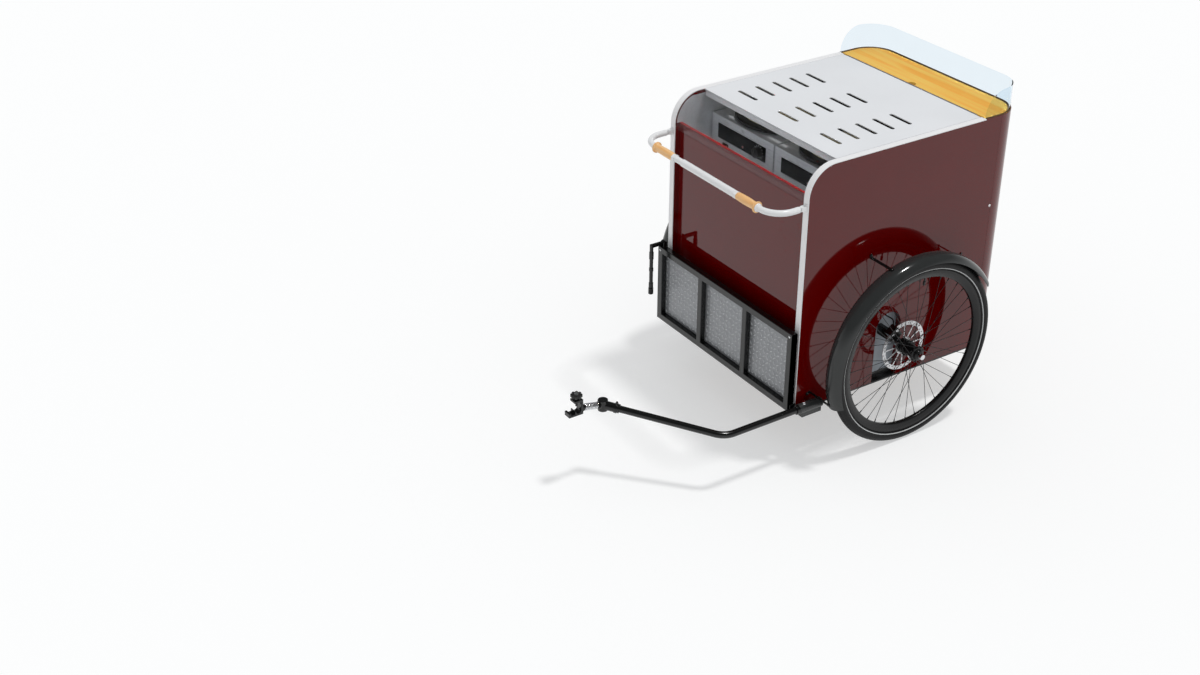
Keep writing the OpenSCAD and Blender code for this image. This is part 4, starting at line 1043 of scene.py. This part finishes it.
@dataclass
class CookingDeck(Assembly):
    """Deck, griddles and their controls."""

    plate_x: float = 82.0
    griddle_y: float = 182.5
    plate_top: float = 1028.0
    ground_r: float = 138.0
    fascia_x: float = 265.0
    fascia_z: float = 956.0
    knob_side: float = 100.0
    lamp_side: float = 10.0
    lamp_z: float = 942.0
    mark_r: float = 24.8
    mark_w: float = 1.4
    mark_t: float = 0.4
    liner_y: float = 364.9
    liner_t: float = 0.9
    liner_low: float = 890.5
    liner_lip: float = 1001.0
    liner_top: float = 1091.0
    liner_ends: tuple[float, float] = (-338.0, 391.5)
    liner_bend: tuple[float, float] = (316.0, 998.0)
    liner_bend_r: float = 99.5
    front_liner: Block = ((390.8, -363.6, 890.4), (391.9, 363.6, 983.0))

    def build(self) -> None:
        """Round the steel, face the plates and fit the controls."""
        # Deck, housings and liners take the stainless copy that is lightened as painted light for the shaded
        # inside.
        self.soften("deck", LIGHTENED_DECK_STEEL, 0.4)
        self.soften("griddle_housings", LIGHTENED_DECK_STEEL, 1.2)
        self.soften("griddle_plates", CAST_SIDE, 1.6, 3)
        self.soften("heating_rings", CAST_SIDE, 1.0)
        self.soften("control_fascias", FASCIA, 1.0)
        self.plate_faces()
        self.dials()
        self.lamps()
        self.liners()
        self.soften("knob_left", BLACK_PLASTIC, 1.2, 3)
        self.soften("knob_right", BLACK_PLASTIC, 1.2, 3)
        self.soften("rocker_switch", GREEN_ROCKER, 0.8)

    def plate_faces(self) -> None:
        """Smooth ground tops on the cooking plates."""
        for side in Side:
            y = side.value * self.griddle_y
            finish = TurnedFinish("cast_plate", (252, 240, 204), 0.4, change=0.06, depth=0.05,
                                  depth_scale=420.0, centre=(self.plate_x, y, 0.0),
                                  name=f"ground_plate_{side.word}")
            r = self.ground_r
            top = [(-1.0, r), (0.3, r - 0.2), (0.5, r - 1.0), (0.4, r - 9.0), (0.4, 60.0), (0.4, 0.0)]
            bm = bmesh.new()
            add_turned(bm, top, (self.plate_x, y, self.plate_top), (0, 0, 1), (1, 0, 0), 96, closed=False)
            self.add(bm, f"griddle_face_{side.word}", "cart", finish)

    def dials(self) -> None:
        """Bright rings and plain scale marks behind the knobs."""
        rings, marks = bmesh.new(), bmesh.new()
        for side in Side:
            at = (self.fascia_x, side.value * self.griddle_y + self.knob_side, self.fascia_z)
            ring = [(-0.2, 19.6), (0.35, 19.8), (0.45, 20.4), (0.35, 21.0), (-0.2, 21.2)]
            add_turned(rings, ring, at, (1, 0, 0), (0, 0, 1), 48)
            for k in range(11):
                a = math.radians(-135.0 + 27.0 * k)
                tall = 5.0 if k % 5 == 0 else 3.4
                size = Matrix.Diagonal((*spot(self.mark_t, self.mark_w, tall), 1.0))
                place = Matrix.Translation(spot(*at)) @ Matrix.Rotation(a, 4, "X")
                out = Matrix.Translation(spot(self.mark_t / 4, 0.0, self.mark_r))
                bmesh.ops.create_cube(marks, size=1.0, matrix=place @ out @ size)
        self.add(rings, "dial_rings", "cart", BRIGHT_STEEL)
        self.add(marks, "dial_marks", "cart", WHITE_TRIM)

    def lamps(self) -> None:
        """Domed red lenses in bright bezels."""
        lenses, bezels = bmesh.new(), bmesh.new()
        for side in Side:
            at = (self.fascia_x, side.value * self.griddle_y + self.lamp_side, self.lamp_z)
            dome = [(0.0, 3.0), (0.8, 2.9), (1.5, 2.3), (1.9, 1.2), (2.0, 0.0)]
            add_turned(lenses, dome, at, (1, 0, 0), (0, 0, 1), 24, closed=False)
            ring = [(-0.2, 3.1), (0.7, 3.2), (0.9, 3.7), (0.7, 4.4), (-0.2, 4.6)]
            add_turned(bezels, ring, at, (1, 0, 0), (0, 0, 1), 24)
        self.add(lenses, "lamp_lenses", "cart", RED_LENS, ("indicator_lamps",))
        self.add(bezels, "lamp_bezels", "cart", BRIGHT_STEEL)

    def liners(self) -> None:
        """Thin steel sheets on the inner faces of the side panels and the front panel, above the deck."""
        bm = bmesh.new()
        back, front = self.liner_ends
        bend = ball_arc(self.liner_bend_r, 88.0, 21.0, 17, *self.liner_bend)
        outline = [(back, self.liner_low), (front, self.liner_low), (front, self.liner_lip), *bend,
                   (back, self.liner_top)]
        for side in Side:
            s = side.value
            sheet = bm.faces.new([bm.verts.new(spot(x, s * self.liner_y, z)) for x, z in outline])
            made = bmesh.ops.extrude_face_region(bm, geom=[sheet])["geom"]
            moved = [v for v in made if isinstance(v, bmesh.types.BMVert)]
            bmesh.ops.translate(bm, verts=moved, vec=spot(0.0, -s * self.liner_t, 0.0))
        self.add(bm, "side_liners", "cart", LIGHTENED_DECK_STEEL)
        self.block(self.front_liner, 0.3, "front_liner", "cart", LIGHTENED_DECK_STEEL)


@dataclass
class LidAndCounter(Assembly):
    """The lid with its window, the hinge, and the counter behind it."""

    rounded: dict[str, tuple[Finish, float]] = field(default_factory=lambda: {
        "top_rails": (WHITE_METAL, 0.5),
        "lid_panel": (WHITE_LID, 0.8),
        "lid_hinge_fixed": (STAINLESS, 0.3),
        "lid_hinge_moving": (STAINLESS, 0.3),
        "counter_rim": (RIM_WOOD, 1.2),
        "cutting_board": (BOARD_WOOD, 2.0),
        "guard": (GUARD, 0.0),
        "window": (WINDOW, 0.0),
    })
    strip: Block = ((295.0, -361.0, 1081.0), (297.0, 361.0, 1100.2))

    def build(self) -> None:
        """Round the edges of lid, board and rim, smooth the clear sheets and add the lid's front strip."""
        self.soften_all(self.rounded)
        self.block(self.strip, 0.5, "lid_front_strip", "lid", WHITE_LID)


@dataclass
class PushHandle(Assembly):
    """The folding push handle with wooden grips."""

    bar_x: float = 555.5
    bar_z: float = 968.0
    tube_r: float = 11.0
    grip_in: float = 185.0
    grip_out: float = 290.0
    grip_r: float = 15.0
    flange_r: float = 20.0
    collar_l: float = 14.0
    sleeve_span: tuple[float, float] = (-129.0, 171.2)
    sleeve_t: float = 2.2

    def build(self) -> None:
        """Round the brackets and tube, turn the grips and make the collars."""
        self.soften("handle_brackets", WHITE_METAL, 0.8)
        self.soften("handle_tube", WHITE_METAL, 0.5)
        self.grips()
        self.collars()
        self.sleeve()

    def grips(self) -> None:
        """Barrel-shaped grips with a flange at the outer end."""
        bm = bmesh.new()
        bore, length = self.tube_r + 0.3, self.grip_out - self.grip_in
        r = self.grip_r
        shape = [(0.0, bore), (0.0, r - 2.6), (1.0, r - 1.8), (4.0, r - 1.2), (18.0, r - 0.4), (40.0, r),
                 (62.0, r - 0.2), (84.0, r - 1.2), (93.0, r - 1.3), (96.5, r - 0.4), (98.6, r + 2.4),
                 (100.0, self.flange_r - 0.8), (101.4, self.flange_r), (103.6, self.flange_r),
                 (104.6, self.flange_r - 0.9), (length, self.flange_r - 2.2), (length, bore)]
        for side in Side:
            s = side.value
            add_turned(bm, shape, (self.bar_x, s * self.grip_in, self.bar_z), (0, s, 0), (1, 0, 0), 48)
        self.add(bm, "grips_turned", "handle", GRIP_WOOD, ("handle_grips",), corner=60.0)

    def collars(self) -> None:
        """Six-sided collars at the inner ends and round ones at the outer ends."""
        bm = bmesh.new()
        for side in Side:
            s = side.value
            inner = (self.bar_x, s * (self.grip_in - self.collar_l), self.bar_z)
            end = (self.bar_x, s * self.grip_in, self.bar_z)
            add_post(bm, inner, end, self.grip_r, 6, 1.2)
            step = [(0.0, 11.1), (0.0, 14.4), (1.0, 15.0), (4.0, 15.0), (6.2, 13.2), (7.0, 11.1)]
            add_turned(bm, step, (self.bar_x, s * self.grip_out, self.bar_z), (0, s, 0), (1, 0, 0), 40)
        self.add(bm, "collars_shaped", "handle", WHITE_METAL, ("handle_collars",), corner=45.0,
                 even_faces=True)

    def sleeve(self) -> None:
        """A wider sleeve over the bar, from the left grip's collar to short of the right one."""
        bm = bmesh.new()
        start, end = self.sleeve_span
        wide, length = self.tube_r + self.sleeve_t, end - start
        shape = [(0.0, self.tube_r), (0.0, wide - 0.6), (0.8, wide), (length, wide), (length, self.tube_r)]
        add_turned(bm, shape, (self.bar_x, start, self.bar_z), (0, 1, 0), (1, 0, 0), 48)
        self.add(bm, "bar_sleeve", "handle", WHITE_METAL, corner=45.0, even_faces=True)


@dataclass
class FoldingPlatform(Assembly):
    """The fold-down platform with chequer plates and its prop leg."""

    half: float = 397.0
    low: float = 205.0
    high: float = 510.0
    tube: float = 25.0
    divider: float = 132.33
    faces: tuple[float, float] = (444.0, 441.0)
    front: float = 464.0
    pitch: float = 20.0
    lozenge: Point = (8.4, 2.7, 1.6)
    turns: tuple[float, float] = (35.0, -55.0)
    leg_at: tuple[float, float] = (504.0, -384.5)
    sleeve_bore: float = 6.8
    sleeves: tuple[Point, ...] = ((352.0, 372.0, 8.6), (420.0, 434.0, 8.4), (470.0, 500.0, 8.6))

    def build(self) -> None:
        """Round the frame, emboss the plates and shape the leg."""
        self.soften("platform_lugs", BLACK_METAL, 0.8)
        self.soften("platform_frame", BLACK_METAL, 2.6, 3)
        self.soften("tread_plates", TREAD_ALLOY, 0.3, 1)
        self.emboss()
        self.soften("prop_leg", BLACK_METAL, 0.8)
        self.soften("leg_foot", FOOT_RUBBER, 1.6, 3)
        self.leg_sleeves()
        self.screws()

    def cells(self) -> list[Point]:
        """Each lozenge's Y, Z and turn on a plate, in millimetres and degrees."""
        found = []
        width = 2 * self.divider - self.tube
        height = self.high - self.low - 2 * self.tube
        across, up = round(width / self.pitch), round(height / self.pitch)
        for middle in (-2 * self.divider, 0.0, 2 * self.divider):
            shift = math.copysign(self.tube / 4, -middle) if middle else 0.0
            for i in range(across):
                for j in range(up):
                    y = middle + shift + (i - (across - 1) / 2) * (width - 8.0) / across
                    z = (self.low + self.high) / 2 + (j - (up - 1) / 2) * (height - 6.0) / up
                    found.append((y, z, self.turns[(i + j) % 2]))
        return found

    def stamp(self) -> bpy.types.Mesh:
        """One lozenge at the origin, long along Z and raised along X."""
        long, wide, rise = self.lozenge
        bm = bmesh.new()
        bmesh.ops.create_uvsphere(bm, u_segments=8, v_segments=6, radius=1.0,
                                  matrix=Matrix.Diagonal((rise * MM, wide * MM, long * MM, 1.0)))
        bmesh.ops.bisect_plane(bm, geom=bm.verts[:] + bm.edges[:] + bm.faces[:], dist=1e-7,
                               plane_co=spot(-0.1, 0.0, 0.0), plane_no=(1.0, 0.0, 0.0), clear_inner=True)
        bmesh.ops.holes_fill(bm, edges=[e for e in bm.edges if e.is_boundary], sides=0)
        mesh = bpy.data.meshes.new("lozenge")
        bm.to_mesh(mesh)
        bm.free()
        return mesh

    def emboss(self) -> None:
        """Raised lozenges on both faces of the plates, turned two ways, in a paler alloy than the plates as
        a painted highlight.
        """
        stamp = self.stamp()
        for x, about, name in ((self.faces[0], 0.0, "front"), (self.faces[1], 180.0, "back")):
            bm = bmesh.new()
            for y, z, turn in self.cells():
                raised = stamp.copy()
                tip = Matrix.Rotation(math.radians(turn), 4, "X")
                lie = Matrix.Rotation(math.radians(about), 4, "Z")
                raised.transform(Matrix.Translation(spot(x, y, z)) @ tip @ lie)
                bm.from_mesh(raised)
                bpy.data.meshes.remove(raised)
            self.add(bm, f"tread_lozenges_{name}", "platform", LOZENGE_HIGHLIGHT_ALLOY, corner=70.0)
        bpy.data.meshes.remove(stamp)

    def screws(self) -> None:
        """Domed screws at the frame's upper corners."""
        bm = bmesh.new()
        dome = [(-0.2, 4.5), (0.6, 4.4), (1.6, 3.2), (2.1, 1.6), (2.2, 0.0)]
        for side in Side:
            at = (self.front, side.value * (self.half - self.tube / 2), self.high - self.tube / 2)
            add_turned(bm, dome, at, (1, 0, 0), (0, 0, 1), 24, closed=False)
        self.add(bm, "corner_screws", "platform", BRIGHT_STEEL)

    def leg_sleeves(self) -> None:
        """Stepped sleeves on the leg's rod."""
        bm = bmesh.new()
        x, y = self.leg_at
        bore, soft = self.sleeve_bore, 0.8
        for low, high, r in self.sleeves:
            tall, edge = high - low, r - soft
            ring = [(0.0, bore), (0.0, edge), (soft, r), (tall - soft, r), (tall, edge), (tall, bore)]
            add_turned(bm, ring, (x, y, low), (0, 0, 1), (1, 0, 0), 28)
        self.add(bm, "leg_sleeves", "leg", BLACK_METAL, corner=50.0, even_faces=True)


@dataclass
class TowHitch(Assembly):
    """Drawbar, spring and clamp."""

    side_y: float = 421.0
    bar_z: float = 218.0
    bar_r: float = 12.5
    bar_back: float = 337.0
    bend_x: float = 748.0
    bend_r: float = 80.0
    bend_steps: int = 18
    end: Point = (1031.0, 100.0, 271.0)
    slope: float = 12.0
    spring_start: float = 18.0
    spring_l: float = 66.0
    wire_d: float = 4.0
    coil_r: float = 11.0
    turns: int = 9
    lead: float = 6.0
    per_turn: int = 28
    knob_at: Point = (1137.0, 100.0, 349.7)
    bolt_x: float = 412.0
    hex_r: float = 6.9
    stop_x: float = 434.8
    band_back: float = 52.0
    stop_plate: Block = ((433.5, 398.8, 188.0), (458.0, 404.0, 232.0))

    @property
    def corner(self) -> Vector:
        """Where the bar's two straight runs would meet."""
        return Vector((self.bend_x, self.side_y, self.bar_z))

    @property
    def pull(self) -> Vector:
        """The direction of the bar's front run."""
        return (Vector(self.end) - self.corner).normalized()

    @property
    def along(self) -> Vector:
        """The spring's direction."""
        a = math.radians(self.slope)
        return Vector((math.cos(a), 0.0, math.sin(a)))

    def build(self) -> None:
        """Round the fittings, sweep bar and spring, and cap the knob."""
        self.soften("drawbar_socket", SOCKET_GREY, 1.0)
        self.bolt()
        self.stop()
        self.bar()
        self.soften("hitch_sleeve", BLACK_METAL, 0.8)
        self.band()
        self.spring()
        self.soften("hitch_clamp", BLACK_METAL, 1.0)
        self.soften("star_knob", BLACK_PLASTIC, 1.6, 3)
        self.knob_cap()

    def bar_path(self) -> list[Vector]:
        """The bar's centre line with its bend as an arc, in metres."""
        ahead, pull = Vector((1.0, 0.0, 0.0)), self.pull
        angle = ahead.angle(pull)
        first = self.corner - ahead * self.bend_r * math.tan(angle / 2)
        sideways = (pull - ahead * pull.dot(ahead)).normalized()
        points = [Vector((self.bar_back, self.side_y, self.bar_z))]
        for k in range(self.bend_steps + 1):
            a = angle * k / self.bend_steps
            ahead_by, aside_by = self.bend_r * math.sin(a), self.bend_r * (1 - math.cos(a))
            points.append(first + ahead * ahead_by + sideways * aside_by)
        points.append(Vector(self.end) - pull * 5.0)
        return [p * MM for p in points]

    def bar(self) -> None:
        """The bent drawbar as a smooth tube."""
        bm = tube_mesh(self.bar_path(), self.bar_r, 40)
        self.add(bm, "drawbar_swept", "cart", BLACK_METAL, ("drawbar",))

    def bolt(self) -> None:
        """A six-sided bolt head on a washer, over the socket."""
        bm = bmesh.new()
        x, y = self.bolt_x, self.side_y
        add_post(bm, (x, y, 226.0), (x, y, 237.2), 8.6, 32, 0.3)
        add_post(bm, (x, y, 237.0), (x, y, 242.0), self.hex_r, 6, 0.7)
        add_post(bm, (x, y, 190.0), (x, y, 226.5), 3.9, 20)
        add_post(bm, (x, y, 194.6), (x, y, 199.5), self.hex_r, 6, 0.7)
        self.add(bm, "socket_bolt_hex", "cart", BRIGHT_STEEL, ("socket_bolt",), corner=45.0, even_faces=True)

    def stop(self) -> None:
        """A black ring round the bar at the socket's mouth, and a stop plate by the platform's corner."""
        bm = bmesh.new()
        ring = [(0.0, 12.4), (0.0, 16.2), (0.8, 17.0), (11.2, 17.0), (12.0, 16.2), (12.0, 12.4)]
        add_turned(bm, ring, (self.stop_x, self.side_y, self.bar_z), (1, 0, 0), (0, 0, 1), 40)
        add_block(bm, *self.stop_plate, 1.5)
        self.add(bm, "socket_stop", "cart", BLACK_METAL, corner=50.0, even_faces=True)

    def band(self) -> None:
        """A clamp band with its screw, round the sleeve."""
        bm = bmesh.new()
        pull = self.pull
        at = Vector(self.end) - pull * self.band_back
        up = (Vector((0.0, 0.0, 1.0)) - pull * pull.z).normalized()
        ring = [(0.0, 15.6), (0.0, 17.6), (0.8, 18.2), (9.2, 18.2), (10.0, 17.6), (10.0, 15.6)]
        add_turned(bm, ring, tuple(at), tuple(pull), tuple(up), 40)
        side = pull.cross(up)
        ear = at + pull * 5.0 + up * 20.0
        add_post(bm, tuple(ear - side * 6.0), tuple(ear + side * 6.0), 4.2, 20, 0.6)
        self.add(bm, "sleeve_band", "cart", BLACK_METAL, corner=50.0, even_faces=True)

    def spring(self) -> None:
        """The wound spring between the sleeve and the clamp."""
        u = self.along
        side = Vector((-u.z, 0.0, u.x))
        across = u.cross(side)
        start = Vector(self.end) + u * self.spring_start
        pitch = (self.spring_l - 2 * self.lead) / self.turns
        rows = [(0.0, 0.0), (0.0, self.wire_d * 0.5), (0.0, self.wire_d)]
        rows += [(2 * math.pi * k / self.per_turn, self.lead + pitch * k / self.per_turn)
                 for k in range(self.turns * self.per_turn + 1)]
        last = 2 * math.pi * self.turns
        rows += [(last, self.spring_l - back) for back in (self.wire_d, self.wire_d * 0.5, 0.0)]
        path = [(start + u * a - side * self.coil_r * math.cos(t)
                 + across * self.coil_r * math.sin(t)) * MM for t, a in rows]
        wire = tube_mesh(path, self.wire_d / 2, 14)
        piece = self.shape(wire, "hitch_spring_wound", BRIGHT_STEEL, corner=180.0)
        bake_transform(piece)
        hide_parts("hitch_spring")
        LOG.info("added hitch_spring_wound between cart and hitch_head")

    def knob_cap(self) -> None:
        """A bright cap in the middle of the star knob."""
        bm = bmesh.new()
        dome = [(-0.5, 7.0), (0.4, 7.0), (0.9, 6.2), (1.1, 4.0), (1.2, 0.0)]
        add_turned(bm, dome, self.knob_at, (0, 0, 1), (1, 0, 0), 32, closed=False)
        self.add(bm, "star_knob_cap", "clamp_knob", BRIGHT_STEEL)


def main() -> None:
    """Build the studio and every sub-assembly."""
    logging.basicConfig(level=logging.INFO, format="%(name)s: %(message)s")
    keep = {*frame["bodies"].values(), *frame["nodes"].values()}
    for stray in [o for o in bpy.data.objects if o not in keep]:
        bpy.data.objects.remove(stray)
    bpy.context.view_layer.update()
    Studio().build()
    assemblies = [BodyShell(), WheelCover(), Brakes(), Wheel(Side.LEFT), Wheel(Side.RIGHT), CookingDeck(),
                  LidAndCounter(), PushHandle(), FoldingPlatform(), TowHitch()]
    for assembly in assemblies:
        assembly.build()
        LOG.info("%s is done", type(assembly).__name__)


if __name__ == "__main__":
    main()
